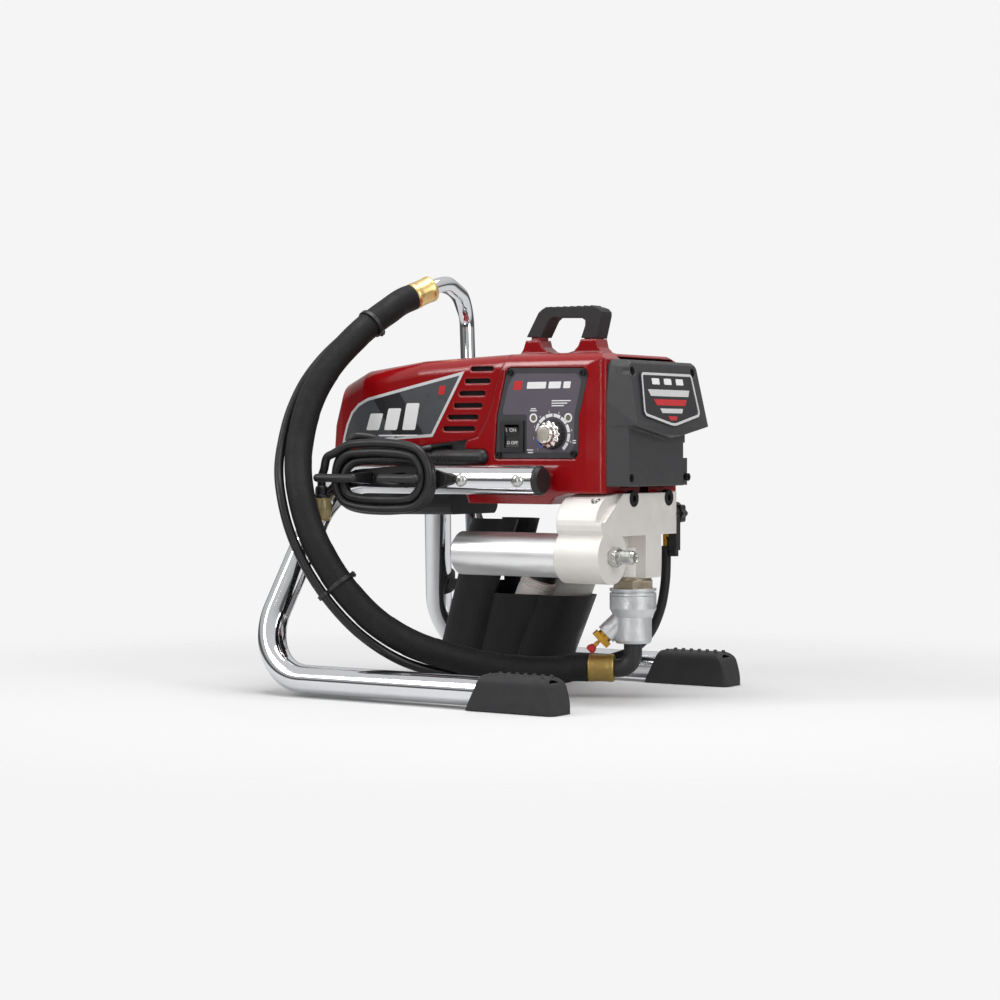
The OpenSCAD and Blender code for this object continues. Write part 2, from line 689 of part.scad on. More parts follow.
module panel_screws() {
    for (p = panel_screw_places) translate([p[0], panel_y - e, p[1]]) rotate([90, 0, 0]) difference() {
        union() {
            cylinder(d = 6.4, h = 2.4);
            translate([0, 0, -8]) cylinder(d = panel_screw_d, h = 8 + e);
        }
        translate([0, 0, 1.2]) cylinder(d = 3.2, h = 3, $fn = 6);
    }
}

rocker_pivot_y = panel_y + 5;
module switch_body() {
    color([0.05, 0.05, 0.05]) translate([rocker_place[0], 0, rocker_place[1]]) difference() {
        union() {
            translate([-13.5, panel_y - 2 - e, -15.5]) cube([27, 2, 31]);
            translate([-10.8, panel_y - 1, -12.8]) cube([21.6, 22, 25.6]);
        }
        translate([-8.5, panel_y - 5, -11.5]) cube([17, 20, 23]);
        translate([-20, rocker_pivot_y, 0]) rotate([0, 90, 0]) cylinder(d = 3 + 2 * slide_gap, h = 40);
    }
}

module rocker() {
    color([0.12, 0.12, 0.12]) translate([rocker_place[0], rocker_pivot_y, rocker_place[1]]) {
        rotate([8, 0, 0]) across_rocker();
        translate([-10.3, 0, 0]) rotate([0, 90, 0]) cylinder(d = 3, h = 20.6);
    }
}

module across_rocker() {
    translate([-8, 0, 0]) rotate([90, 0, 90]) linear_extrude(16)
        polygon([[-7.5, -10.2], [-6, -5], [-5.2, 0], [-6, 5], [-7.5, 10.2], [-3, 9], [3, 3], [3, -3], [-3, -9]]);
}

knob_base_y = panel_y - 1;
spindle_d = 6;
module pressure_knob() {
    color([0.16, 0.15, 0.16]) translate([knob_place[0], knob_base_y, knob_place[1]]) rotate([90, 0, 0]) {
        difference() {
            union() {
                cylinder(r1 = 14.5, r2 = 13.5, h = 7);
                for (a = [0 : 30 : 330]) rotate(a) translate([13.2, 0, 0]) cylinder(d = 3.4, h = 11, $fn = 16);
                translate([0, 0, 7 - e]) cylinder(r1 = 12.8, r2 = 11.5, h = 6);
                translate([0, 0, 13 - 2 * e]) cylinder(r1 = 10, r2 = 8.6, h = 3.5);
            }
            translate([0, 0, 15.6]) cylinder(d = 13, h = 2);
        }
        // spindle into the potentiometer
        translate([0, 0, -pot_depth]) cylinder(d = spindle_d, h = pot_depth + e);
    }
}
pot_depth = 14;

lamp_base_y = panel_y + 8;
module status_lamps() {
    color("khaki") for (p = lamp_places) translate([p[0], lamp_base_y, p[1]]) rotate([90, 0, 0]) {
        cylinder(d = 6.5, h = 4);
        cylinder(d = 5, h = 8.4);
    }
}

// The board stands on posts in the control box
board_y = panel_y + 21;
box_floor_y = board_y + 4;
board_t = 1.6;
board_posts = [[52, 246], [124, 246], [64, 312], [130, 310]];
module control_board() {
    color("seagreen") {
        across(board_y, board_y + board_t) offset(delta = -8) polygon(panel_outline);
        for (p = board_posts) translate([p[0], box_floor_y, p[1]]) rotate([90, 0, 0]) cylinder(d = 6, h = box_floor_y - board_y - e);
        // potentiometer, two capacitors, a choke and the stems of the lamps
        translate([knob_place[0], board_y + e, knob_place[1]]) rotate([90, 0, 0]) difference() {
            cylinder(d = 16, h = 15);
            translate([0, 0, 6]) cylinder(d = spindle_d + 2 * slide_gap, h = 10);
        }
        for (x = [66, 84]) translate([x, board_y + e, 300]) rotate([90, 0, 0]) cylinder(d = 14, h = 14);
        translate([106, board_y - 12, 286]) cube([20, 12 + e, 22]);
        for (p = lamp_places) translate([p[0], board_y + e, p[1]]) rotate([90, 0, 0]) cylinder(d = 3, h = board_y - lamp_base_y - seat + e);
    }
}

// ---- front cover ----
badge_points = [[-69, 267], [0, 254], [69, 267], [64, cover_top_z - 1], [-64, cover_top_z - 1]];
module cover_profile() {
    polygon([[case_front_x + seat, cover_bottom_z], [cover_front_x - 2, cover_bottom_z], [cover_front_x, cover_bottom_z + 3],
        [cover_front_x, 250], [cover_front_x + 11, 258], [cover_front_x + 11, 266], [cover_front_x - 1, cover_top_z - 3],
        [cover_front_x - 4, cover_top_z], [case_front_x + seat, cover_top_z + 1.5]]);
}

module cover_plan() {
    polygon([[case_front_x - 1, -cover_half_w], [cover_front_x + 12, -cover_half_w - 2], [cover_front_x + 12, cover_half_w + 2],
        [case_front_x - 1, cover_half_w]]);
}

cover_screw_places = [[-60, 319], [56, 320], [-60, 217], [56, 217]];
module front_cover() {
    color([0.22, 0.22, 0.23]) difference() {
        union() {
            // lower part, upright
            difference() {
                translate([case_front_x + seat, -cover_half_w, cover_bottom_z])
                    cube([cover_front_x - case_front_x - seat, 2 * cover_half_w, 62]);
                // scooped far corner
                translate([cover_front_x + 3, cover_half_w + 2, 236]) cylinder(r = 28, h = 100, $fn = 48);
                translate([cover_front_x - 12, 38, cover_bottom_z + 22]) cube([40, 60, 20]);
                translate([cover_front_x - 12, 38, cover_bottom_z - 1]) cube([40, 60, 40]);
            }
            // upper part, its face tilted out over the lower one
            intersection() {
                across(-cover_half_w - 4, cover_half_w + 4) cover_profile();
                linear_extrude(400) cover_plan();
                along(case_front_x, cover_front_x + 20) polygon([[-69, 267], [0, 255], [69, 267], [64.5, cover_top_z - 6],
                    [58, cover_top_z + 2], [-58, cover_top_z + 2], [-64.5, cover_top_z - 6]]);
            }
        }
        // hollow behind the face
        translate([case_front_x, -cover_half_w + 3, cover_bottom_z + 3]) cube([cover_front_x - case_front_x - 15, 2 * cover_half_w - 6, cover_top_z - cover_bottom_z - 9]);
        // screw pockets
        for (p = cover_screw_places) translate([case_front_x - 1, p[0], p[1]]) rotate([0, 90, 0]) cylinder(d = 4.6, h = 60);
        for (p = cover_screw_places) translate([cover_front_x - 8, p[0], p[1]]) rotate([0, 90, 0]) cylinder(d = 9, h = 60);
        // bed of the badge plate
        badge_frame() linear_extrude(5) polygon(badge_shape);
    }
}

badge_shape = [[-47, 22.5], [47, 22.5], [50, 19], [55, -17], [52, -22], [4, -31.5], [-4, -31.5], [-52, -22], [-55, -17], [-50, 19]];
module badge_frame() {
    translate([192, 0, 297]) rotate([0, 90 - atan2(11, 62), 0]) rotate(90) children();
}

module badge_plate() {
    color("gainsboro") badge_frame() difference() {
        linear_extrude(1.8) offset(delta = -0.3) polygon(badge_shape);
        translate([0, 0, 1]) linear_extrude(3) offset(delta = -2.2) polygon(badge_shape);
    }
}

module cover_screws() {
    for (p = cover_screw_places) translate([0, p[0], p[1]]) rotate([0, 90, 0]) difference() {
        union() {
            translate([0, 0, cover_front_x - 8 + e]) cylinder(d = 7.6, h = 4);
            translate([0, 0, case_front_x + 1]) cylinder(d = 4, h = cover_front_x - 8 - case_front_x);
        }
        translate([0, 0, cover_front_x - 6.5]) cylinder(d = 3.6, h = 6, $fn = 6);
    }
}

relief_y = -71;
relief_z = 237;
relief_d = 15;
relief_seat_x = 22;
relief_end_x = -36;
module strain_relief() {
    color([0.07, 0.07, 0.07]) translate([0, relief_y, relief_z]) rotate([0, -90, 0]) {
        translate([0, 0, -relief_seat_x]) cylinder(d = relief_d, h = relief_seat_x + 10);
        translate([0, 0, -relief_seat_x]) sphere(d = relief_d);
        translate([0, 0, 10]) cylinder(d1 = relief_d, d2 = relief_d - 3, h = -relief_end_x - 10);
        for (i = [0 : 3]) translate([0, 0, 14 + i * 5]) cylinder(d = relief_d - i * 0.4, h = 2.6);
    }
}

// ---- motor ----
module motor_can() {
    color([0.3, 0.3, 0.32]) translate([motor_rear_x, motor_y, motor_z]) rotate([0, 90, 0]) difference() {
        cylinder(d = motor_d, h = motor_l);
        translate([0, 0, -1]) cylinder(d = motor_d - 7, h = motor_l - 5);
        cylinder(d = 24, h = motor_l + 5);
    }
}

end_cap_l = 16;
module motor_end_cap() {
    color([0.62, 0.62, 0.64]) translate([motor_rear_x - end_cap_l, motor_y, motor_z]) rotate([0, 90, 0]) difference() {
        cylinder(d = motor_d - 2, h = end_cap_l);
        translate([0, 0, 5]) cylinder(d = motor_d - 10, h = end_cap_l);
        translate([0, 0, -1]) cylinder(d = 22 + 2 * slide_gap, h = 8);
    }
}

module armature() {
    rear = motor_rear_x - end_cap_l - 14;
    color([0.55, 0.45, 0.35]) {
        translate([rear, motor_y, motor_z]) rotate([0, 90, 0]) cylinder(d = shaft_d, h = gear_one_x - rear);
        translate([motor_rear_x + 26, motor_y, motor_z]) rotate([0, 90, 0]) cylinder(d = motor_d - 30, h = motor_l - 50);
        translate([motor_rear_x + 4, motor_y, motor_z]) rotate([0, 90, 0]) cylinder(d = 30, h = 20);
        translate([gear_one_x, motor_y, motor_z]) rotate([0, 90, 0]) rotate(pinion_phase)
            linear_extrude(gear_one_w) gear_shape(pinion_teeth, module_one);
    }
}

fan_x = motor_rear_x - end_cap_l - 12;
module motor_fan() {
    color([0.12, 0.12, 0.12]) translate([fan_x, motor_y, motor_z]) rotate([0, 90, 0]) difference() {
        union() {
            cylinder(d = 20, h = 10);
            translate([0, 0, 8]) cylinder(d = 76, h = 2);
            for (a = [0 : 40 : 320]) rotate(a) translate([6, -1, 0]) cube([31, 2, 9]);
        }
        translate([0, 0, -1]) cylinder(d = shaft_d, h = 12);
    }
}

module ring(x, y, z, od, id, h) {
    translate([x, y, z]) rotate([0, 90, 0]) difference() {
        cylinder(d = od, h = h);
        translate([0, 0, -1]) cylinder(d = id, h = h + 2);
    }
}

module bearings() {
    color("lightgray") {
        ring(web_x, motor_y, motor_z, motor_bearing_d, shaft_d + 2 * slide_gap, bearing_w);
        ring(motor_rear_x - end_cap_l, motor_y, motor_z, 22, shaft_d + 2 * slide_gap, bearing_w);
        ring(web_x + web_t - bearing_w, lay_y, lay_z, lay_bearing_d, lay_shaft_d + 2 * slide_gap, bearing_w);
        ring(web_x + web_t - bearing_w, crank_y, crank_z, crank_bearing_d, crank_shaft_d + 2 * slide_gap, bearing_w);
    }
}

// ---- gears ----
function involute(base_r, a) = base_r * sqrt(1 + pow(a * PI / 180, 2));
function roll(base_r, r) = sqrt(max(0, pow(r / base_r, 2) - 1)) * 180 / PI;
function inv_angle(base_r, r) = roll(base_r, r) - atan(sqrt(max(0, pow(r / base_r, 2) - 1)));

// An involute spur gear with a 20 degree pressure angle
module gear_shape(teeth, m) {
    pitch_r = teeth * m / 2;
    base_r = pitch_r * cos(20);
    tip_r = pitch_r + m * 0.92;
    root_r = pitch_r - 1.25 * m;
    start_r = max(base_r, root_r + 0.1);
    half = 90 / teeth - backlash / 2 / pitch_r * 180 / PI / 2 + inv_angle(base_r, pitch_r);
    foot = half - inv_angle(base_r, start_r) + (180 / teeth - half) * 0.3;
    flank = [for (k = [0 : 4]) start_r + (tip_r - start_r) * k / 4];
    polygon([for (t = [0 : teeth - 1]) let (c = t * 360 / teeth) each concat(
        [[root_r * cos(c - foot), root_r * sin(c - foot)]],
        [for (r = flank) let (a = c - half + inv_angle(base_r, r)) [r * cos(a), r * sin(a)]],
        [for (k = [4 : -1 : 0]) let (r = flank[k], a = c + half - inv_angle(base_r, r)) [r * cos(a), r * sin(a)]],
        [[root_r * cos(c + foot), root_r * sin(c + foot)]])]);
}

// Angles are measured in the gears' own plane, where local x is -Z and local y is +Y
lay_angle = atan2(lay_y - motor_y, -(lay_z - motor_z));
crank_angle = atan2(crank_y - lay_y, -(crank_z - lay_z));
pinion_phase = lay_angle;
reduction_phase = lay_angle + 180 + 180 / reduction_teeth;
layshaft_phase = crank_angle;
crank_phase = crank_angle + 180 + 180 / crank_teeth;

module reduction_gear() {
    color([0.6, 0.6, 0.62]) translate([0, lay_y, lay_z]) rotate([0, 90, 0]) {
        translate([0, 0, gear_one_x]) rotate(reduction_phase) linear_extrude(gear_one_w) gear_shape(reduction_teeth, module_one);
        translate([0, 0, gear_one_x + gear_one_w - e]) cylinder(d = 15, h = gear_two_x - gear_one_x - gear_one_w + 2 * e);
        translate([0, 0, gear_two_x]) rotate(layshaft_phase) linear_extrude(gear_two_w) gear_shape(layshaft_teeth, module_two);
        translate([0, 0, web_x + web_t - bearing_w]) cylinder(d = lay_shaft_d, h = gear_two_x + gear_two_w + 6 - web_x - web_t + bearing_w);
    }
}

module crank_gear() {
    color([0.5, 0.5, 0.54]) translate([0, crank_y, crank_z]) rotate([0, 90, 0]) {
        translate([0, 0, gear_two_x]) rotate(crank_phase) linear_extrude(gear_two_w) gear_shape(crank_teeth, module_two);
        translate([0, 0, web_x + web_t - bearing_w]) cylinder(d = crank_shaft_d, h = gear_two_x - web_x - web_t + bearing_w + e);
        translate([0, 0, crank_cheek_x - e]) cylinder(d = 30, h = 18);
        translate([0, 0, crank_cheek_x + 18 - 2 * e]) cylinder(d = crank_pin_r * 2 + crank_pin_d + 6, h = 10);
        translate([crank_pin_r, 0, crank_cheek_x + 27]) cylinder(d = crank_pin_d, h = crank_pin_end - crank_cheek_x - 27);
    }
}

// ---- yoke and piston ----
yoke_z = crank_z - crank_pin_r;
module slider_yoke() {
    color([0.55, 0.55, 0.5]) difference() {
        translate([yoke_rear_x, pump_y - yoke_w / 2, yoke_z - yoke_h / 2]) cube([yoke_t, yoke_w, yoke_h]);
        hull() for (s = [-1, 1]) translate([yoke_rear_x - 1, pump_y + s * crank_pin_r, yoke_z]) rotate([0, 90, 0])
            cylinder(d = crank_pin_d + 0.4, h = yoke_t - 3, $fn = 32);
    }
}

rod_bottom_z = 96;
module piston_rod() {
    color("gainsboro") {
        translate([pump_x, pump_y, rod_bottom_z]) cylinder(d = rod_d, h = yoke_z - yoke_h / 2 - rod_bottom_z);
        translate([yoke_rear_x, pump_y - 10, yoke_z - yoke_h / 2 - 9]) cube([yoke_t, 20, 9]);
    }
}

module packings() {
    color("ivory") for (z = [block_top_z - 22, block_bottom_z + 6]) translate([pump_x, pump_y, z]) difference() {
        cylinder(d = pump_bore_d, h = 12);
        translate([0, 0, -1]) cylinder(d = rod_d + 2 * slide_gap, h = 14);
    }
}

// ---- pump block ----
module block_profile() {
    polygon(concat([[50, block_top_z], [50, 161], [20, 161], [20, block_bottom_z], [-9, block_bottom_z],
        [-9, 130], [-60, 130], [-bowl_y, bowl_z - 4]],
        [for (a = [190 : -10 : 120]) [-62 + 31 * cos(a), 172 + 29 * sin(a)]], [[-60, block_top_z - 1], [-50, block_top_z]]));
}

module pump_block() {
    color([0.8, 0.8, 0.78]) difference() {
        union() {
            difference() {
                along(block_rear_x, block_front_x) block_profile();
                translate([pump_x + 2, -60, block_bottom_z - 1]) cube([40, 51, 161 - block_bottom_z + 1]);
            }
            translate([block_rear_x, -bowl_y, bowl_z]) rotate([0, 90, 0]) cylinder(d = boss_d, h = block_depth);
            translate([pump_x, pump_y, block_bottom_z]) cylinder(d = 34, h = 30);
        }
        // slanted front edge towards the control side
        along(block_front_x - 6, block_front_x + 1)
            polygon([[-50, block_top_z + 1], [-110, block_top_z + 1], [-110, block_top_z - 27], [-86, block_top_z - 27]]);
        // bore of the piston
        translate([pump_x, pump_y, block_bottom_z - 1]) cylinder(d = pump_bore_d + 2 * slide_gap, h = block_top_z - block_bottom_z + 2);
        // filter chamber and outlet
        translate([block_rear_x - 1, -bowl_y, bowl_z]) rotate([0, 90, 0]) cylinder(d = bowl_d - 9 + 2 * seat, h = block_depth - 7);
        translate([block_front_x - 10, outlet_y, outlet_z]) rotate([0, 90, 0]) cylinder(d = outlet_thread_d + 2 * slide_gap, h = 12);
        // bolts into the housing
        for (y = block_bolt_y) translate([block_bolt_x, y, block_top_z - 30]) cylinder(d = 8 + 2 * slide_gap, h = 32);
        for (y = [-32, 35]) translate([block_front_x - 5, y, block_top_z - 5]) rotate([0, 90, 0])
            cylinder(d = 16.4, h = 8);
        // seat of the plug in the sloping top
        translate([plug_x, plug_y, plug_seat_z]) cylinder(d = 9 + 2 * slide_gap, h = 30);
        // sensor and valve ports on the far side
        translate([block_rear_x - 1, 20, 183]) rotate([0, 90, 0]) cylinder(d = 12 + 2 * slide_gap, h = 14);
        translate([valve_x, 40, valve_z]) rotate([-90, 0, 0]) cylinder(d = 12 + 2 * slide_gap, h = 12);
        translate([pump_x, pump_y, block_bottom_z - 1]) cylinder(d = 30 + 2 * slide_gap, h = 7);
    }
}

module block_bolts() {
    color([0.16, 0.16, 0.17]) {
        for (y = [-32, 35]) translate([block_front_x - 5, y, block_top_z - 5]) rotate([0, 90, 0]) difference() {
            cylinder(d = 16, h = 5.6);
            translate([0, 0, 3]) cylinder(d = 7, h = 4, $fn = 6);
        }
        for (y = block_bolt_y) translate([block_bolt_x, y, block_top_z - 29]) cylinder(d = 8, h = 36);
    }
}

plug_x = 158.5;
plug_y = -79;
plug_seat_z = 186;
module block_plug() {
    color("silver") translate([plug_x, plug_y, plug_seat_z]) difference() {
        union() {
            cylinder(d = 9, h = 10);
            translate([0, 0, 10 - e]) cylinder(d1 = 9, d2 = 7, h = 1.5);
        }
        translate([0, 0, 8]) cylinder(d = 4.4, h = 6, $fn = 6);
    }
}

module filter_bowl() {
    color("whitesmoke") difference() {
        union() {
            translate([bowl_rear_x + 4, -bowl_y, bowl_z]) rotate([0, 90, 0]) cylinder(d = bowl_d, h = bowl_l - 4 - seat);
            translate([bowl_rear_x, -bowl_y, bowl_z]) rotate([0, 90, 0]) cylinder(d1 = bowl_d - 8, d2 = bowl_d, h = 4 + e);
            translate([block_rear_x - 1, -bowl_y, bowl_z]) rotate([0, 90, 0]) cylinder(d = bowl_d - 9, h = 18);
        }
        translate([bowl_rear_x + 5, -bowl_y, bowl_z]) rotate([0, 90, 0]) cylinder(d = bowl_d - 16, h = bowl_l + 30);
        translate([bowl_rear_x - 1, -bowl_y, bowl_z]) rotate([0, 90, 0]) cylinder(d = 10, h = 4, $fn = 6);
    }
}

module filter_element() {
    color("tan") difference() {
        translate([bowl_rear_x + 5, -bowl_y, bowl_z]) rotate([0, 90, 0]) cylinder(d = 20, h = 150);
        translate([bowl_rear_x + 12, -bowl_y, bowl_z]) rotate([0, 90, 0]) cylinder(d = 15, h = 150);
    }
}

module outlet_fitting() {
    hex_l = 8;
    hex_x = block_front_x;
    color([0.75, 0.75, 0.72]) translate([0, outlet_y, outlet_z]) rotate([0, 90, 0]) difference() {
        union() {
            translate([0, 0, hex_x - 9]) cylinder(d = outlet_thread_d, h = 10);
            translate([0, 0, hex_x]) cylinder(d = outlet_af / cos(30), h = hex_l, $fn = 6);
            translate([0, 0, hex_x + hex_l - e]) cylinder(d = outlet_thread_d - 2, h = 3 + e);
            translate([0, 0, hex_x + hex_l + 3 - e]) cylinder(d = outlet_thread_d, h = outlet_front_x - hex_x - hex_l - 6);
            translate([0, 0, outlet_front_x - 3 - e]) cylinder(d1 = outlet_thread_d, d2 = outlet_thread_d - 3, h = 3);
        }
        translate([0, 0, hex_x - 10]) cylinder(d = outlet_bore_d, h = 60);
        translate([0, 0, outlet_front_x - 3]) cylinder(d1 = outlet_bore_d, d2 = outlet_bore_d + 3.5, h = 3.1);
    }
}

module pressure_sensor() {
    color([0.5, 0.5, 0.52]) translate([0, 20, 183]) rotate([0, 90, 0]) {
        translate([0, 0, block_rear_x - 14]) cylinder(d = 20, h = 14 - e);
        translate([0, 0, block_rear_x - 1]) cylinder(d = 12, h = 12);
        translate([0, 0, block_rear_x - 26]) cylinder(d = 14, h = 12 + e);
    }
}

module cylinder_nut() {
    color([0.72, 0.66, 0.5]) translate([pump_x, pump_y, 0]) difference() {
        union() {
            translate([0, 0, ring_top_z]) cylinder(d = nut_af / cos(30), h = nut_h, $fn = 6);
            translate([0, 0, nut_top_z - e]) cylinder(d = 36, h = block_bottom_z - nut_top_z);
            translate([0, 0, block_bottom_z - 2]) cylinder(d = 30, h = 8);
        }
        translate([0, 0, ring_top_z - 1]) cylinder(d = pump_bore_d, h = 60);
    }
}

module clamp_ring() {
    color([0.6, 0.6, 0.62]) translate([pump_x, pump_y, inlet_top_z]) difference() {
        union() {
            cylinder(d = ring_d, h = 2.6);
            translate([0, 0, 2.5]) cylinder(d = ring_d - 4, h = ring_h - 5);
            translate([0, 0, ring_h - 2.6 - e]) cylinder(d = ring_d, h = 2.6);
        }
        translate([0, 0, -1]) cylinder(d = pump_bore_d, h = ring_h + 2);
    }
}

module inlet_housing() {
    color([0.66, 0.67, 0.68]) difference() {
        union() {
            translate([pump_x, pump_y, 0]) {
                translate([0, 0, inlet_top_z - inlet_flange_h]) cylinder(d = ring_d, h = inlet_flange_h - seat);
                translate([0, 0, inlet_top_z - inlet_flange_h - 8]) cylinder(d1 = inlet_barrel_d + 1, d2 = ring_d, h = 8 + e);
                translate([0, 0, inlet_bottom_z + 3]) cylinder(d = inlet_barrel_d, h = inlet_top_z - inlet_flange_h - inlet_bottom_z - 3);
                translate([0, 0, inlet_bottom_z]) cylinder(d1 = inlet_barrel_d - 4, d2 = inlet_barrel_d, h = 3 + e);
            }
            rod(branch_root, branch_root + branch_dir * branch_len, branch_d / 2);
        }
        translate([pump_x, pump_y, inlet_bottom_z - 1]) cylinder(d = elbow_d - 4 + 2 * slide_gap, h = 10);
        translate([pump_x, pump_y, inlet_bottom_z + 8]) cylinder(d = 12, h = 12);
        translate([pump_x, pump_y, ball_z - 10]) cylinder(d = 24 + 2 * slide_gap, h = 60);
        rod(branch_root + branch_dir * 8, branch_root + branch_dir * (branch_len + 1), 5.5);
    }
}

ball_z = 82;
ball_d = 15;
module inlet_ball() {
    color("silver") translate([pump_x, pump_y, ball_z]) sphere(d = ball_d, $fn = 48);
}

module inlet_seat() {
    color("dimgray") translate([pump_x, pump_y, ball_z - 10]) difference() {
        cylinder(d = 24, h = 6);
        translate([0, 0, -1]) cylinder(d = 10, h = 8);
        translate([0, 0, 10]) sphere(d = ball_d + 0.6, $fn = 48);
    }
}

module pusher_body() {
    color([0.8, 0.62, 0.25]) difference() {
        union() {
            rod(branch_at(branch_len + seat), branch_at(branch_len + 3), 7.5);
            aim(branch_at(branch_len + 3 - e), branch_dir) cylinder(d = 22, h = 6, $fn = 6);
            rod(branch_at(branch_len - 16), branch_at(branch_len + 1), 5.4);
        }
        rod(branch_at(branch_len - 17), branch_at(branch_len + 20), button_r + slide_gap);
    }
}
function branch_at(l) = branch_root + branch_dir * l;
button_r = 2.2;
button_travel = 4;

module pusher_button() {
    color([0.75, 0.1, 0.1]) {
        rod(branch_at(branch_len - 14), branch_at(branch_len + 21), button_r);
        rod(branch_at(branch_len + 9 + button_travel + 6), branch_at(branch_len + 9 + button_travel + 10.5), 4.8);
        rod(branch_at(branch_len + 9 + button_travel + 4), branch_at(branch_len + 9 + button_travel + 6 + e), 3.6);
    }
}

module suction_elbow() {
    color([0.12, 0.12, 0.12]) {
        pipe([[pump_x, pump_y, inlet_bottom_z - seat], [pump_x, pump_y, elbow_z], elbow_end], elbow_bend_r, elbow_d / 2, elbow_bore_r);
        translate([pump_x, pump_y, inlet_bottom_z - 1]) difference() {
            cylinder(r = elbow_d / 2 - 2, h = 8);
            translate([0, 0, -1]) cylinder(r = elbow_bore_r - 0.3, h = 10);
        }
    }
}

module ferrule(a, d) {
    aim(a, d) {
        cylinder(d = hose_d - 0.4, h = ferrule_l);
        translate([0, 0, 3]) cylinder(d = hose_d + 0.6, h = 2);
        translate([0, 0, ferrule_l - 5]) cylinder(d = hose_d + 0.6, h = 2);
    }
}

module hose_ferrules() {
    color([0.8, 0.62, 0.25]) {
        ferrule(elbow_end, elbow_dir);
        ferrule(upper_ferrule, upper_dir);
    }
}

module suction_hose() {
    color([0.12, 0.12, 0.12]) cord(suction_points, hose_r, 12, [0, 0, 1]);
}

module siphon_tube() {
    color("silver") pipe([upper_end, siphon_turn, siphon_knee, siphon_foot], siphon_bend_r, siphon_d / 2, siphon_d / 2 - siphon_wall);
}

// ---- prime valve ----
valve_x = 164.5;
valve_z = 180.5;
valve_w = 8;
valve_bottom_z = 138;
module prime_valve() {
    color([0.1, 0.1, 0.1]) {
        translate([valve_x, 41, valve_z]) rotate([-90, 0, 0]) cylinder(d = 12, h = 9 + e);
        translate([valve_x - 1, 50 + e, valve_bottom_z + 6]) cube([9, valve_w, valve_z - valve_bottom_z - 6]);
        translate([valve_x + 1, 50 + e, valve_bottom_z]) cube([6, valve_w - 2, 7]);
        translate([valve_x, 50 + e, valve_z]) rotate([-90, 0, 0]) cylinder(d = 17, h = valve_w);
        translate([valve_x, 50 + valve_w - 1, valve_z]) rotate([-90, 0, 0]) cylinder(d = 8, h = 8);
    }
}

module prime_knob() {
    color([0.12, 0.12, 0.12]) translate([valve_x, 50 + valve_w + seat, valve_z]) rotate([-90, 0, 0]) difference() {
        linear_extrude(9) polygon([for (a = [0 : 5 : 355]) (10.5 + 0.9 * cos(8 * a)) * [cos(a), sin(a)]]);
        translate([0, 0, -1]) cylinder(d = 8 + 2 * slide_gap, h = 8.5);
    }
}

module return_fitting() {
    color([0.8, 0.62, 0.25]) translate([return_x, return_y, 0]) {
        translate([0, 0, return_top_z - 3]) rotate([0, 90, 0]) cylinder(d = 5.6, h = valve_x - 1 - return_x);
        translate([0, 0, return_top_z - 7]) cylinder(d = 7.6, h = 7, $fn = 6);
        translate([0, 0, return_top_z - 14]) cylinder(d = 6.5, h = 7 + e);
    }
}

return_x = 158;
return_y = 55;
return_top_z = 162;

// ---- return hose: down from the valve, along the suction hose, into the cup ----
hose_gap = 1.2;
loop_centre = [-20, -60, 230];
function away(i) = let (t = route_dirs(suction_points)[i], d = suction_points[i] - loop_centre)
    unit(d - t * (d * t));
function turn_off(i) = i < 4 ? 80 : i < 9 ? 80 - (i - 3) * 16 : i < 14 ? 0 : min(60, (i - 13) * 7);
function beside(i) = let (t = route_dirs(suction_points)[i], o = away(i), s = cross(o, t))
    suction_points[i] + (hose_r + return_d / 2 + hose_gap) * (o * cos(turn_off(i)) + s * sin(turn_off(i)));
return_start = [return_x, return_y, return_top_z - 14];
return_points = concat([return_start, [158, 55, 138], [157.5, 54, 112], [154, 50, 84], [146, 42, 60], [133, 30, 44], [117, 15, 36]],
    [for (i = [2 : len(suction_points) - 1]) beside(i)],
    [[-129.5, 23, 404], [-123.5, 36, 411], [-120, 48, 415], [-125, 62, 416.5], [-131, 78, 416.5], [-137, 94, 416],
     [-141.5, 108, 414], [-143.5, 120, 408.5], [-144.5, 129, 398], [-143, 134.5, 384], [-141.5, 136, 365], [-135, 131.5, 305],
     [-129.6, 128.4, 225], [-124, 128, 182], [-112, 126.8, 152], [-101, 121, 124], [-98, 117, 80], [-97, 116, 56]]);

module return_hose() {
    color([0.1, 0.1, 0.1]) cord(return_points, return_d / 2, 8, [1, 0, 0]);
}

// Each clip is a strap round both hoses
module hose_clips() {
    color([0.08, 0.08, 0.08]) for (i = [10, len(suction_points) - 4]) {
        t = route_dirs(suction_points)[i];
        gap = hose_r + return_d / 2 + hose_gap;
        second = [gap * cos(turn_off(i)), -gap * sin(turn_off(i)), 0];
        place(suction_points[i], away(i), cross(t, away(i)), t) translate([0, 0, -2]) difference() {
            union() {
                cylinder(r = hose_r + 1.8, h = 4);
                translate(second) cylinder(r = return_d / 2 + 1.8, h = 4);
            }
            translate([0, 0, -1]) cylinder(r = hose_r + seat, h = 6);
            translate(second - [0, 0, 1]) cylinder(r = return_d / 2 + seat, h = 6);
        }
    }
}

// ---- drip cup: three lobes that lean forward, held by an arm to the far leg ----
cup_bottom_z = 28;
lean_z = 100;
// Each lobe: X of its two centres at the bottom, X of the same two at lean_z, radius
cup_lobes = [[[-117, -101], [-96, -81], 31], [[-75, -43], [-55, -21], 27], [[-21, -18], [11, 13], 31]];

module cup_lobe(lobe, top_z, inset) {
    lean = (lobe[1] - lobe[0]) / (lean_z - cup_bottom_z);
    hull() for (z = [cup_bottom_z + inset, top_z], i = [0, 1])
        translate([lobe[0][i] + lean[i] * (z - cup_bottom_z), cup_y, z]) linear_extrude(0.1) circle(r = lobe[2] - inset, $fn = 36);
}

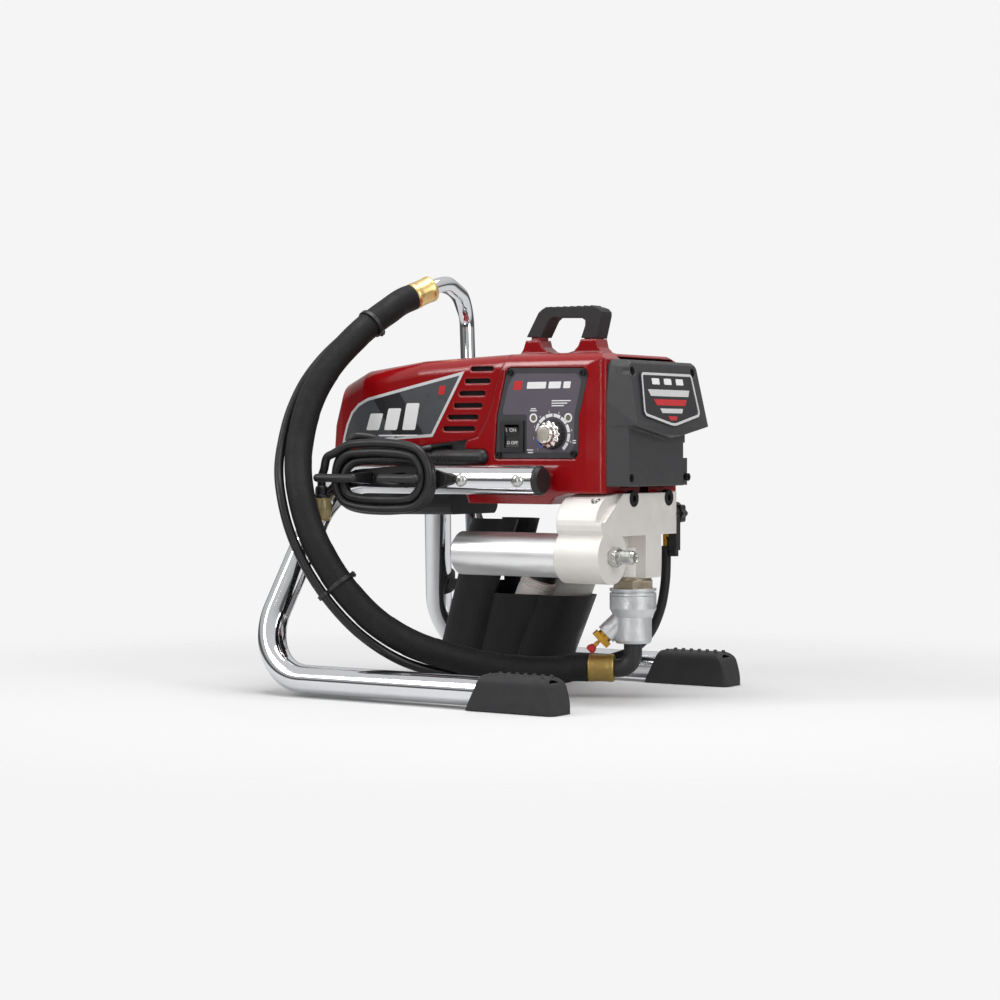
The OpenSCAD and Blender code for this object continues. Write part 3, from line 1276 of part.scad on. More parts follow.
leg_clip_z = 100;
leg_dir = unit([lean_x, rail_y - floor_y, rail_z - floor_z]);
leg_clip = [-corner_x, floor_y, floor_z] + leg_dir * ((leg_clip_z - floor_z) / leg_dir[2]);
arm_dir = unit([1, -0.15, 0]);
clip_a = -106;        // direction in plan that the snap clip is open to

module drip_cup() {
    color([0.08, 0.08, 0.08]) difference() {
        union() {
            cup_lobe(cup_lobes[0], cup_back_z, 0);
            cup_lobe(cup_lobes[1], cup_rim_z, 0);
            cup_lobe(cup_lobes[2], cup_rim_z, 0);
            // arm and clip on the leg
            place(leg_clip, arm_dir, cross([0, 0, 1], arm_dir), [0, 0, 1]) translate([tube_r + 1.8, -4, -8.4]) cube([50, 8, 10.9]);
            difference() {
                aim(leg_clip - leg_dir * 9, leg_dir) cylinder(r = tube_r + 4, h = 18);
                place(leg_clip, [cos(clip_a), sin(clip_a), 0], [-sin(clip_a), cos(clip_a), 0], [0, 0, 1])
                    translate([3, -30, -20]) cube([40, 60, 40]);
            }
        }
        cup_lobe(cup_lobes[0], cup_back_z + 2, cup_wall);
        cup_lobe(cup_lobes[1], cup_rim_z + 2, cup_wall);
        cup_lobe(cup_lobes[2], cup_rim_z + 2, cup_wall);
        // the tall back is open to the front and has a slanted corner
        across(cup_y - 50, cup_y + 50) polygon([[-66, cup_rim_z], [-38, cup_back_z + 5], [60, cup_back_z + 5], [60, cup_rim_z]]);
        across(cup_y - 50, cup_y + 50) polygon([[-150, cup_back_z - 16], [-113, cup_back_z - 14], [-95, cup_back_z],
            [-95, cup_back_z + 9], [-150, cup_back_z + 9]]);
        // way in for the siphon tube and the return hose
        translate([-150, cup_y - 4, 103]) cube([60, 60, 83]);
        aim(leg_clip - leg_dir * 20, leg_dir) cylinder(r = tube_r + seat, h = 40);
    }
}

// The strainer and the oil bottle lean with the cup and stand on its floor
inner_dir = unit([0.43, 0, 1]);
strainer_r = 20;
strainer_h = 110;
bottle_r = 20;
function stand_z(r) = cup_bottom_z + cup_wall + seat + r * inner_dir[0];

module inlet_strainer() {
    color([0.8, 0.8, 0.78]) aim([-8, cup_y, stand_z(strainer_r)], inner_dir) {
        cylinder(r = strainer_r, h = strainer_h);
        translate([0, 0, strainer_h - e]) cylinder(r1 = strainer_r, r2 = strainer_r - 3, h = 3);
    }
}

module oil_bottle() {
    color("white") aim([-54, cup_y, stand_z(bottle_r)], inner_dir) {
        cylinder(r = bottle_r, h = 76);
        translate([0, 0, 76 - e]) cylinder(r = bottle_r - 2, h = 20);
    }
}

// ---- power cord ----
function coil_turn(k) = k / coil_rings;
// Winds in to half way, climbs to the front layer there, and winds out again
function coil_radius(k) = coil_big_r - coil_pitch * min(coil_turn(k), coil_turns - coil_turn(k));
function coil_layer(k) = max(0, min(1, (coil_turn(k) - coil_turns / 2) * 2 + 0.5));
function coil_point(k) = let (a = coil_start_a + k * 360 / coil_rings, c = cos(a))
    [coil_c[0] + coil_radius(k) * c + coil_half_straight * max(-1, min(1, c * 2.2)),
     coil_layers_y - coil_layer(k) * coil_pitch,
     coil_c[2] + coil_radius(k) * sin(a)];
coil_count = coil_turns * coil_rings;
coil_path = [for (k = [0 : coil_count]) coil_point(k)];
coil_in_dir = unit(coil_path[0] - coil_path[1]);
coil_out_dir = unit(coil_path[coil_count] - coil_path[coil_count - 1]);
coil_in = coil_path[0] + coil_in_dir * cord_d;
coil_out = coil_path[coil_count] + coil_out_dir * cord_d;
coil_points = concat([coil_in], coil_path, [coil_out]);
coil_gap = min([for (i = [0 : 2 : len(coil_points) - 1]) for (j = [i + 12 : 1 : len(coil_points) - 1])
    norm(coil_points[i] - coil_points[j])]) - cord_d;
echo(coil_gap = coil_gap);

module cord_coil() {
    color([0.09, 0.09, 0.09]) cord(coil_points, cord_r, 6, [0, 1, 0]);
}

plug_top = [-138, -124, 208];
lead_points = [[relief_end_x, relief_y, relief_z], [-45, -71, 237], [-56, -75, 239], [-68, -84, 245], [-79, -95, 251],
    [-90, -107, 256]];
tail_points = [[-134, -125, 224.5], [-138, -124, 216.5]];
module cord_runs() {
    color([0.09, 0.09, 0.09]) {
        cord(concat(lead_points, [coil_in + coil_in_dir * cord_d, coil_in]), cord_r, 8, [0, 0, 1]);
        cord(concat([coil_out, coil_out + coil_out_dir * cord_d], tail_points, [plug_top]), cord_r, 8, [0, 1, 0]);
    }
}

module power_plug() {
    color([0.7, 0.6, 0.35]) translate(plug_top) {
        translate([0, 0, -8]) cylinder(d = 13, h = 8);
        translate([0, 0, -24]) cylinder(d1 = 22, d2 = 18, h = 16 + e);
        translate([0, 0, -36]) cylinder(d1 = 16, d2 = 22, h = 12 + e);
    }
}

right_leg();
left_leg();
right_foot();
left_foot();
rail_plugs();
rail_screws();
cord_wrap();
gear_housing();
motor_shroud();
belly_pan();
handle_grip();
control_panel();
case_screws();
switch_body();
rocker();
pressure_knob();
status_lamps();
control_board();
front_cover();
badge_plate();
strain_relief();
motor_can();
motor_end_cap();
armature();
motor_fan();
bearings();
reduction_gear();
crank_gear();
slider_yoke();
piston_rod();
packings();
pump_block();
block_bolts();
block_plug();
filter_bowl();
filter_element();
outlet_fitting();
pressure_sensor();
cylinder_nut();
clamp_ring();
inlet_housing();
inlet_ball();
inlet_seat();
pusher_body();
pusher_button();
suction_elbow();
hose_ferrules();
suction_hose();
siphon_tube();
inlet_strainer();
oil_bottle();
prime_valve();
prime_knob();
return_fitting();
return_hose();
hose_clips();
drip_cup();
cord_runs();
cord_coil();
power_plug();
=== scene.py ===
import math

import bmesh
import bpy
from mathutils import Matrix, Vector
from mathutils.bvhtree import BVHTree
from mathutils.geometry import tessellate_polygon


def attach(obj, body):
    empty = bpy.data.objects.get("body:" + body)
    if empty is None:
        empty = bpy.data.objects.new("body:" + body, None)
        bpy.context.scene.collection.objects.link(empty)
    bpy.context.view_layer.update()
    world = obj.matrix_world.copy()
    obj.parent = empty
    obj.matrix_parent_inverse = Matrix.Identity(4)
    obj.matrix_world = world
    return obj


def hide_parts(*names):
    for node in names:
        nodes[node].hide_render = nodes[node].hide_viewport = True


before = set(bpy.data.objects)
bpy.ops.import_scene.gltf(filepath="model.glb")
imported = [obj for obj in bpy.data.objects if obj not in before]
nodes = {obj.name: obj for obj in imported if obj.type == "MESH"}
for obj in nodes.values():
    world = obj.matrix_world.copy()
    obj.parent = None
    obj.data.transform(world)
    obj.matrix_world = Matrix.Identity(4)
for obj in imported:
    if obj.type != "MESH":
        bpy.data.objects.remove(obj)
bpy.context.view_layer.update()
scene = bpy.context.scene


def mm(*values):
    return Vector(values) / 1000


def hexToLinear(code):
    parts = [int(code[i:i + 2], 16) / 255 for i in (1, 3, 5)]
    return tuple(v / 12.92 if v <= 0.04045 else ((v + 0.055) / 1.055) ** 2.4 for v in parts) + (1.0,)


def addNode(tree, kind, settings=None, **inputs):
    # underscores in an input's name stand for spaces, and in0, in1 for numbered sockets
    node = tree.nodes.new("ShaderNode" + kind)
    for key, value in (settings or {}).items():
        setattr(node, key, value)
    for key, value in inputs.items():
        numbered = key[:2] == "in" and key[2:].isdigit()
        socket = node.inputs[int(key[2:]) if numbered else key.replace("_", " ")]
        if isinstance(value, bpy.types.NodeSocket):
            tree.links.new(value, socket)
        else:
            socket.default_value = value
    return node


def finishMesh(name, mesh, smoothAngle):
    mesh.update()
    mesh.validate()
    mesh.shade_smooth()
    mesh.set_sharp_from_angle(angle=math.radians(smoothAngle))
    obj = bpy.data.objects.new(name, mesh)
    scene.collection.objects.link(obj)
    return obj


def meshObject(name, verts, faces, smoothAngle):
    mesh = bpy.data.meshes.new(name)
    mesh.from_pydata([tuple(v) for v in verts], [], faces)
    return finishMesh(name, mesh, smoothAngle)


def fromBmesh(name, bm, smoothAngle=35):
    bmesh.ops.recalc_face_normals(bm, faces=bm.faces)
    mesh = bpy.data.meshes.new(name)
    bm.to_mesh(mesh)
    bm.free()
    return finishMesh(name, mesh, smoothAngle)


def setMaterial(obj, material):
    obj.data.materials.clear()
    obj.data.materials.append(material)


def addPiece(obj, material, body="base"):
    # dresses a piece and lets it ride on a CAD body
    setMaterial(obj, material)
    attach(obj, body)
    return obj


def frameAt(place, along):
    # local z runs along the given direction
    z = Vector(along).normalized()
    ref = Vector((1, 0, 0)) if abs(z.z) > 0.9 else Vector((0, 0, 1))
    x = ref.cross(z).normalized()
    y = z.cross(x)
    m = Matrix((x, y, z)).transposed().to_4x4()
    m.translation = Vector(place)
    return m


def ringFaces(rings, sides):
    # quads between neighbouring rings of points, and a cap at each end
    faces = []
    for i in range(rings - 1):
        for k in range(sides):
            near, far = i * sides, (i + 1) * sides
            faces.append((near + k, near + (k + 1) % sides, far + (k + 1) % sides, far + k))
    faces.append(tuple(range(sides - 1, -1, -1)))
    faces.append(tuple(range((rings - 1) * sides, rings * sides)))
    return faces


def lathe(name, profile, place, along, sides, smoothAngle=35, bump=None):
    # profile: (radius, height) pairs in millimetres, end to end; bump(radius, height, angle) adds to a radius
    m = frameAt(place, along)
    verts = []
    for r, h in profile:
        for k in range(sides):
            a = 2 * math.pi * k / sides
            radius = r + (bump(r, h, a) if bump else 0)
            verts.append(m @ (Vector((radius * math.cos(a), radius * math.sin(a), h)) / 1000))
    return meshObject(name, verts, ringFaces(len(profile), sides), smoothAngle)


def smoothPath(points, step):
    # a centripetal Catmull-Rom line through the points, with a point about every step metres
    pts = [2 * points[0] - points[1]] + points + [2 * points[-1] - points[-2]]
    out = []
    for i in range(1, len(pts) - 2):
        p0, p1, p2, p3 = pts[i - 1:i + 3]
        n = max(1, round((p2 - p1).length / step))
        t0, t1 = 0, (p1 - p0).length ** 0.5
        t2 = t1 + (p2 - p1).length ** 0.5
        t3 = t2 + (p3 - p2).length ** 0.5
        for k in range(n):
            t = t1 + (t2 - t1) * k / n
            a1 = p0 * ((t1 - t) / (t1 - t0)) + p1 * ((t - t0) / (t1 - t0))
            a2 = p1 * ((t2 - t) / (t2 - t1)) + p2 * ((t - t1) / (t2 - t1))
            a3 = p2 * ((t3 - t) / (t3 - t2)) + p3 * ((t - t2) / (t3 - t2))
            b1 = a1 * ((t2 - t) / (t2 - t0)) + a2 * ((t - t0) / (t2 - t0))
            b2 = a2 * ((t3 - t) / (t3 - t1)) + a3 * ((t - t1) / (t3 - t1))
            out.append(b1 * ((t2 - t) / (t2 - t1)) + b2 * ((t - t1) / (t2 - t1)))
    return out + [points[-1]]


def sweepTube(name, path, radius, sides, side=(0, 0, 1), skin=None):
    # skin(distance, angle) adds to the radius; the UV map holds distance and girth in metres
    n = len(path)
    tangents = [(path[min(i + 1, n - 1)] - path[max(i - 1, 0)]).normalized() for i in range(n)]
    across = Vector(side)
    verts, runs, run = [], [], 0
    for i in range(n):
        across = (across - tangents[i] * across.dot(tangents[i])).normalized()
        up = tangents[i].cross(across)
        run += (path[i] - path[i - 1]).length if i else 0
        for k in range(sides):
            a = 2 * math.pi * k / sides
            r = radius + (skin(run, a) if skin else 0)
            verts.append(path[i] + (across * math.cos(a) + up * math.sin(a)) * r)
        runs.append(run)
    obj = meshObject(name, verts, ringFaces(n, sides), 60)
    layer = obj.data.uv_layers.new(name="length")
    girth = 2 * math.pi * radius
    for face in obj.data.polygons:
        closesRing = face.index < (n - 1) * sides and face.index % sides == sides - 1
        for corner in face.loop_indices:
            ring, k = divmod(obj.data.loops[corner].vertex_index, sides)
            layer.data[corner].uv = (runs[ring], (1.0 if k == 0 and closesRing else k / sides) * girth)
    return obj


def pathLength(path):
    return sum((b - a).length for a, b in zip(path, path[1:]))


def insetOutline(points, distance):
    # moves each side of a closed outline inwards
    area = sum(a[0] * b[1] - b[0] * a[1] for a, b in zip(points, points[1:] + points[:1]))
    turn = 1 if area > 0 else -1
    sharpest = 0.3  # keeps a pointed corner from running away
    out = []
    for i, p in enumerate(points):
        a, b = Vector(points[i - 1]), Vector(points[(i + 1) % len(points)])
        p = Vector(p)
        d1, d2 = (p - a).normalized(), (b - p).normalized()
        n1, n2 = Vector((-d1.y, d1.x)) * turn, Vector((-d2.y, d2.x)) * turn
        mid = (n1 + n2).normalized()
        out.append(tuple(p + mid * (distance / max(sharpest, mid.dot(n1)))))
    return out


def roundedOutline(points, radius, steps=5):
    # cuts each corner of a closed outline with an arc-like curve
    share = 0.45  # of a side's length, so that two cuts never meet
    out = []
    for i, p in enumerate(points):
        p = Vector(p)
        a, b = Vector(points[i - 1]) - p, Vector(points[(i + 1) % len(points)]) - p
        cut = min(radius, a.length * share, b.length * share)
        start, end = p + a.normalized() * cut, p + b.normalized() * cut
        for k in range(steps + 1):
            t = k / steps
            out.append(tuple((1 - t) ** 2 * start + 2 * t * (1 - t) * p + t * t * end))
    return out


def bar(x, y, width, height, slant=0):
    return [(x, y), (x + width, y), (x + width + slant, y + height), (x + slant, y + height)]


def circle(cx, cy, r, steps=32):
    angles = [2 * math.pi * i / steps for i in range(steps)]
    return [(cx + r * math.cos(a), cy + r * math.sin(a)) for a in angles]


def arcBand(cx, cy, r0, r1, a0, a1, steps):
    angles = [math.radians(a0 + (a1 - a0) * i / steps) for i in range(steps + 1)]
    return ([(cx + r1 * math.cos(a), cy + r1 * math.sin(a)) for a in angles]
            + [(cx + r0 * math.cos(a), cy + r0 * math.sin(a)) for a in reversed(angles)])


def onSurface(node, direction, start):
    # gives a place function that drops drawing points onto a node's surface along a direction
    mesh, way = nodes[node].data, Vector(direction)
    corners, faces = [v.co.copy() for v in mesh.vertices], [tuple(p.vertices) for p in mesh.polygons]
    tree = BVHTree.FromPolygons(corners, faces)
    standOff = 0.05  # metres before the start
    steepest = -0.3  # on a face that is steeper to the direction, points are lifted against the direction

    def place(u, v, lift):
        origin = start(u, v)
        spot, normal = tree.ray_cast(origin - way * standOff, way)[:2]
        if spot is None:
            spot, normal = origin, -way
        if normal.dot(way) >= steepest:
            normal = -way
        return spot + normal * (lift / 1000)
    return place


def pressOn(bm, place, bottom, top, x=0, y=0):
    # thickens a flat drawing and lays it on the object: place(u, v, lift) takes and lifts in millimetres
    extruded = bmesh.ops.extrude_face_region(bm, geom=bm.faces[:])
    raised = {v for v in extruded["geom"] if isinstance(v, bmesh.types.BMVert)}
    for v in bm.verts:
        v.co = place(x + v.co.x, y + v.co.y, top if v in raised else bottom)


def foil(name, finish, outlines, place, lift, thickness, cell=None, holes=()):
    # thin printed shapes; with a cell size they are cut up so that they bend with the surface
    bm = bmesh.new()
    for outline in outlines:
        loops = [[Vector((x, y, 0)) for x, y in loop] for loop in (outline, *holes)]
        verts = [bm.verts.new(p) for loop in loops for p in loop]
        for tri in tessellate_polygon(loops):
            bm.faces.new([verts[i] for i in tri])
    bmesh.ops.remove_doubles(bm, verts=bm.verts, dist=1e-4)
    if cell:
        low = [min(v.co[i] for v in bm.verts) for i in (0, 1)]
        high = [max(v.co[i] for v in bm.verts) for i in (0, 1)]
        for axis, normal in enumerate((Vector((1, 0, 0)), Vector((0, 1, 0)))):
            cut = low[axis] + cell
            while cut < high[axis]:
                everything = bm.verts[:] + bm.edges[:] + bm.faces[:]
                bmesh.ops.bisect_plane(bm, geom=everything, plane_co=normal * cut, plane_no=normal)
                cut += cell
    bmesh.ops.recalc_face_normals(bm, faces=bm.faces)
    if bm.faces[:][0].normal.z < 0:
        bmesh.ops.reverse_faces(bm, faces=bm.faces)
    pressOn(bm, place, lift, lift + thickness)
    addPiece(fromBmesh(name, bm, 30), made[finish])


# camera: where it stands in metres, its turn and dip in degrees, and its lens on a 36 mm sensor
view = {"place": (1.3709, -2.0384, 0.2465), "azimuth": 34.024, "down": 1.249, "lens": 87.02,
        "sensor": 36, "clip": (0.05, 30)}
camera = bpy.data.objects.new("camera", bpy.data.cameras.new("camera"))
camera.data.lens = view["lens"]
camera.data.sensor_width = view["sensor"]
camera.data.sensor_fit = "HORIZONTAL"
camera.data.clip_start, camera.data.clip_end = view["clip"]
turn, tip = math.radians(view["azimuth"]), math.radians(view["down"])
back = Vector((math.sin(turn) * math.cos(tip), -math.cos(turn) * math.cos(tip), math.sin(tip)))
camera.location = view["place"]
camera.rotation_euler = back.to_track_quat("Z", "Y").to_euler()
scene.collection.objects.link(camera)
scene.camera = camera
print("camera placed")


def buildFinish(name, spec):
    # sizes are in millimetres: patch is that of the drift between the two colours, marks that of the gloss,
    # edge the rounding that shading gives to edges, wearAndHighlight (colour, width, amount) of edges painted
    # lighter, grain (kind, size, depth)
    material = bpy.data.materials.new(name)
    material.use_nodes = True
    tree = material.node_tree
    tree.nodes.clear()
    shader = addNode(tree, "BsdfPrincipled", Metallic=spec.get("metal", 0.0))
    addNode(tree, "OutputMaterial", Surface=shader.outputs[0])
    for key, value in spec.get("fixed", {}).items():
        shader.inputs[key].default_value = value
    where = addNode(tree, "TexCoord").outputs["Object"]
    if "stretch" in spec:  # brushed or drawn surfaces: the pattern is long in one direction
        where = addNode(tree, "Mapping", Vector=where, Scale=spec["stretch"]).outputs[0]
    drift = addNode(tree, "TexNoise", Vector=where, Scale=1000 / spec["patch"], Detail=3.0, Roughness=0.6)
    tones = [hexToLinear(code) for code in spec["colours"]]
    colour = addNode(tree, "Mix", {"data_type": "RGBA"}, Factor=drift.outputs["Fac"],
                     in6=tones[0], in7=tones[1]).outputs[2]
    if "wearAndHighlight" in spec:  # edges painted lighter, from where a rounded normal starts to depart from the flat one: wear on most finishes, a painted highlight on the charcoal ABS
        wearAndHighlightColour, width, amount = spec["wearAndHighlight"]
        rounded = addNode(tree, "Bevel", {"samples": 4}, Radius=width / 1000)
        flat = addNode(tree, "NewGeometry")
        same = addNode(tree, "VectorMath", {"operation": "DOT_PRODUCT"},
                       in0=rounded.outputs[0], in1=flat.outputs["Normal"])
        mask = addNode(tree, "MapRange", Value=same.outputs["Value"], From_Min=0.995, From_Max=0.75,
                       To_Min=0.0, To_Max=amount)
        colour = addNode(tree, "Mix", {"data_type": "RGBA"}, Factor=mask.outputs[0],
                         in6=colour, in7=hexToLinear(wearAndHighlightColour)).outputs[2]
    tree.links.new(colour, shader.inputs["Base Color"])
    # gloss varies with handling marks
    marks = addNode(tree, "TexNoise", Vector=where, Scale=1000 / spec.get("marks", 12), Detail=4.0)
    rough = addNode(tree, "MapRange", Value=marks.outputs["Fac"], From_Min=0.3, From_Max=0.7,
                    To_Min=spec["rough"][0], To_Max=spec["rough"][1])
    tree.links.new(rough.outputs[0], shader.inputs["Roughness"])
    normal = None
    if "edge" in spec:
        normal = addNode(tree, "Bevel", {"samples": 6}, Radius=spec["edge"] / 1000).outputs[0]
    for kind, size, depth in spec.get("grain", ()):
        if kind == "cells":
            pattern = addNode(tree, "TexVoronoi", Vector=where, Scale=1000 / size).outputs["Distance"]
        else:
            pattern = addNode(tree, "TexNoise", Vector=where, Scale=1000 / size, Detail=2.0).outputs["Fac"]
        bump = addNode(tree, "Bump", Height=pattern, Strength=1.0, Distance=depth / 1000)
        if normal is not None:
            tree.links.new(normal, bump.inputs["Normal"])
        normal = bump.outputs[0]
    if normal is not None:
        tree.links.new(normal, shader.inputs["Normal"])
    return material


# real grain is mostly finer than these sizes: it is drawn at 0.8 mm and more, so that it shows
finishes = {
    # injection-moulded gloss ABS in red: deep colour, sharp reflections, faint ripple of the mould
    "glossRedAbs": dict(colours=("#930A10", "#88090F"), patch=60, rough=(0.1, 0.17), marks=30, edge=3.2,
                        grain=(("noise", 9, 0.02),),
                        fixed={"Specular IOR Level": 0.5, "Coat Weight": 0.12, "Coat Roughness": 0.04}),
    # spark-eroded ABS, charcoal: matt, fine grain; its lighter edges are a painted highlight where they catch
    # a little light
    "charcoalAbs": dict(colours=("#38383A", "#313133"), patch=25, rough=(0.42, 0.55), edge=2.6,
                        grain=(("noise", 1.2, 0.05),), wearAndHighlight=("#5A5A5C", 1.2, 0.5)),
    # moulded rubber, grained so that it grips: soft broad sheen
    "grainedRubber": dict(colours=("#2B2B2D", "#232325"), patch=18, rough=(0.58, 0.7), edge=1.6,
                          grain=(("cells", 1.6, 0.05),), wearAndHighlight=("#48484A", 1.4, 0.45),
                          fixed={"Specular IOR Level": 0.4}),
    # glass-filled nylon, black: satin, with small specks
    "blackNylon": dict(colours=("#161617", "#1D1D1E"), patch=9, rough=(0.38, 0.5), edge=0.9,
                       grain=(("noise", 1.5, 0.03),)),
    # moulded polypropylene of the cup: waxy, a little scuffed
    "mattPolypropylene": dict(colours=("#151516", "#1B1B1D"), patch=30, rough=(0.42, 0.58), edge=1.5,
                              grain=(("noise", 2.0, 0.03),), wearAndHighlight=("#343436", 1.0, 0.4),
                              fixed={"Specular IOR Level": 0.3}),
    # bright chrome on steel tube: mirror with very faint polishing haze
    "chromedSteel": dict(colours=("#E4E5E8", "#DCDDE0"), patch=50, metal=1.0, rough=(0.05, 0.1), marks=25),
    # bead-blasted and anodised aluminium: pale, soft highlights, fine sparkle
    "anodisedAluminium": dict(colours=("#E9E6E2", "#DEDBD6"), patch=22, metal=0.6, rough=(0.5, 0.62),
                              edge=1.4, grain=(("noise", 0.9, 0.03),), wearAndHighlight=("#F2F0EC", 0.8, 0.6)),
    # drawn and polished aluminium tube: lines run along it
    "polishedAluminium": dict(colours=("#F4F4F4", "#EAEAEB"), patch=14, stretch=(0.05, 1, 1), metal=0.9,
                              rough=(0.32, 0.42), marks=3, grain=(("noise", 1.6, 0.01),)),
    # die-cast zinc, tumbled: grey, slightly lumpy skin
    "dieCastZinc": dict(colours=("#DCDEE0", "#C6C8CA"), patch=7, metal=0.8, rough=(0.3, 0.5), edge=0.9,
                        grain=(("noise", 3.5, 0.4), ("noise", 1.0, 0.05)), wearAndHighlight=("#D2D4D6", 0.8, 0.6)),
    # zinc plate with clear passivation: cool steel, faint yellow and blue
    "zincPlatedSteel": dict(colours=("#C9C7BC", "#B9BCC0"), patch=6, metal=1.0, rough=(0.2, 0.32), edge=0.6),
    # turned brass: warm, with tool marks
    "turnedBrass": dict(colours=("#C79A3F", "#B98B34"), patch=10, metal=1.0, rough=(0.2, 0.34), edge=0.6,
                        grain=(("noise", 1.4, 0.02),)),
    # brass rolled and lacquered: pale straw gold, fine lines round the sleeve
    "lacqueredBrass": dict(colours=("#E6C98D", "#D6B878"), patch=3, stretch=(1, 1, 0.2), metal=1.0,
                           rough=(0.3, 0.42), grain=(("noise", 1.2, 0.02),)),
    # the same brass, darker, browner and a little rougher, on the lower ferrule: olive brown
    "darkBrownBrass": dict(colours=("#B0965A", "#947B45"), patch=3, stretch=(0.2, 1, 1), metal=0.9,
                        rough=(0.38, 0.5), grain=(("noise", 1.2, 0.03),)),
    # chromed ABS: bright but softer than plated steel, a warm cast
    "chromedAbs": dict(colours=("#EFE9E2", "#E6E0DA"), patch=20, metal=1.0, rough=(0.08, 0.16), marks=6),
    # chromed ABS brushed one way: dull silver with short lines, where the knob's lobes are bright
    "brushedAbs": dict(colours=("#BDB6AC", "#AFA89F"), patch=2, stretch=(1, 1, 0.1), metal=0.9,
                       rough=(0.34, 0.46)),
    # nickel over brass: grey with a warm cast
    "nickelledBrass": dict(colours=("#B3A896", "#A0957F"), patch=8, metal=1.0, rough=(0.24, 0.36), edge=0.8),
    # ground carbon steel, oiled, on gears and shafts: grey with an even, slightly soft shine
    "groundSteel": dict(colours=("#8E9093", "#7C7E82"), patch=12, metal=1.0, rough=(0.25, 0.4), edge=0.3,
                        grain=(("noise", 1.1, 0.01),)),
    # black-oxided steel screws: nearly black, with a thin metallic glint
    "blackenedSteel": dict(colours=("#1B1B1C", "#242425"), patch=5, metal=0.6, rough=(0.35, 0.5), edge=0.4),
    # enamelled copper windings: brown, streaked along the wires
    "windingCopper": dict(colours=("#8A5A36", "#75492B"), patch=4, stretch=(0.3, 1, 1), metal=0.8,
                          rough=(0.3, 0.5)),
    # steel can, spray-painted: dark grey with an even low sheen
    "paintedSteel": dict(colours=("#55565A", "#4B4C50"), patch=20, rough=(0.35, 0.45), edge=0.8,
                         grain=(("noise", 1.5, 0.03),)),
    # glass-epoxy circuit board under resist: green, satin, with the weave faintly through it
    "boardResist": dict(colours=("#1F5A3A", "#184A30"), patch=5, rough=(0.3, 0.45),
                        grain=(("cells", 2.0, 0.02),)),
    # pressed polyethylene packing: milky and dull
    "packingPolymer": dict(colours=("#E8E2D0", "#DDD6C2"), patch=8, rough=(0.45, 0.55)),
    # woven wire of the filter: dim gold, broken up by its weave
    "filterWeave": dict(colours=("#B89C6C", "#A08655"), patch=2, metal=0.5, rough=(0.4, 0.6),
                        grain=(("cells", 1.2, 0.2),)),
    # frosted light pipe of the lamps: grey-yellow, a little see-through
    "lampLens": dict(colours=("#8F8B79", "#7F7B6A"), patch=3, rough=(0.2, 0.3),
                     fixed={"Transmission Weight": 0.3}),
    # a black sheet of painted shade for the dark inside the shroud: near-black and fully rough
    "paintedShadeBlack": dict(colours=("#0C0C0D", "#141415"), patch=4, rough=(0.9, 1.0),
                       grain=(("noise", 0.8, 0.15),)),
    # dipped PVC tip: opaque red, soft shine
    "redPvc": dict(colours=("#B4171B", "#A01216"), patch=5, rough=(0.35, 0.45), edge=0.5),
    # polycarbonate foil printed purple-grey: satin, finely embossed
    "printedFoil": dict(colours=("#5C5560", "#544D58"), patch=35, rough=(0.3, 0.38),
                        grain=(("noise", 1.0, 0.015),)),
    # the same foil printed dark grey: a quiet border round the purple field
    "printedFoilDark": dict(colours=("#37373C", "#323237"), patch=35, rough=(0.34, 0.42),
                            grain=(("noise", 1.0, 0.015),)),
    # vinyl decal, graphite print: smooth, slightly wavy where it was rubbed on
    "decalGraphite": dict(colours=("#4C4D51", "#45464A"), patch=30, rough=(0.26, 0.34),
                          grain=(("noise", 4, 0.01),)),
    # vinyl decal, black print: as smooth, a shade darker than the graphite
    "decalBlack": dict(colours=("#1D1D20", "#242427"), patch=20, rough=(0.26, 0.34),
                       grain=(("noise", 4, 0.01),)),
    # vinyl decal, silver-white ink: pale with a hint of metal
    "decalSilver": dict(colours=("#DADADA", "#CFCFD0"), patch=15, metal=0.2, rough=(0.3, 0.4)),
    # screen-printed inks: flat, even and opaque
    "inkWhite": dict(colours=("#EDEDED", "#E4E4E4"), patch=10, rough=(0.35, 0.45)),
    "inkRed": dict(colours=("#C4252B", "#B81F25"), patch=10, rough=(0.3, 0.4)),
    "inkBlue": dict(colours=("#3D5FB0", "#3555A2"), patch=6, rough=(0.35, 0.45)),
}
made = {name: buildFinish(name, spec) for name, spec in finishes.items()}
print("finishes made:", len(made))


# which finish each CAD node wears; the ones that a piece replaces get theirs for the hidden solid
nodeFinish = {
    "chromedSteel": "right_leg left_leg siphon_tube",
    "grainedRubber": "right_foot left_foot handle_grip",
    "blackNylon": "rail_plugs cord_wrap belly_pan strain_relief switch_body rocker prime_valve prime_knob "
                  "suction_elbow motor_fan hose_clips suction_hose return_hose cord_runs cord_coil "
                  "power_plug pressure_knob",
    "zincPlatedSteel": "rail_screws outlet_fitting block_plug",
    "glossRedAbs": "gear_housing motor_shroud",
    "printedFoilDark": "control_panel badge_plate",
    "blackenedSteel": "case_screws block_bolts",
    "lampLens": "status_lamps",
    "boardResist": "control_board",
    "charcoalAbs": "front_cover",
    "paintedSteel": "motor_can",
    "dieCastZinc": "motor_end_cap inlet_housing clamp_ring",
    "windingCopper": "armature",
    "groundSteel": "bearings reduction_gear crank_gear slider_yoke piston_rod inlet_ball inlet_seat "
                   "pressure_sensor",
    "packingPolymer": "packings oil_bottle",
    "anodisedAluminium": "pump_block",
    "polishedAluminium": "filter_bowl",
    "filterWeave": "filter_element inlet_strainer",
    "nickelledBrass": "cylinder_nut",
    "turnedBrass": "pusher_body hose_ferrules return_fitting",
    "redPvc": "pusher_button",
    "mattPolypropylene": "drip_cup",
}
for finish, names in nodeFinish.items():
    for name in names.split():
        setMaterial(nodes[name], made[finish])
print("CAD nodes dressed")


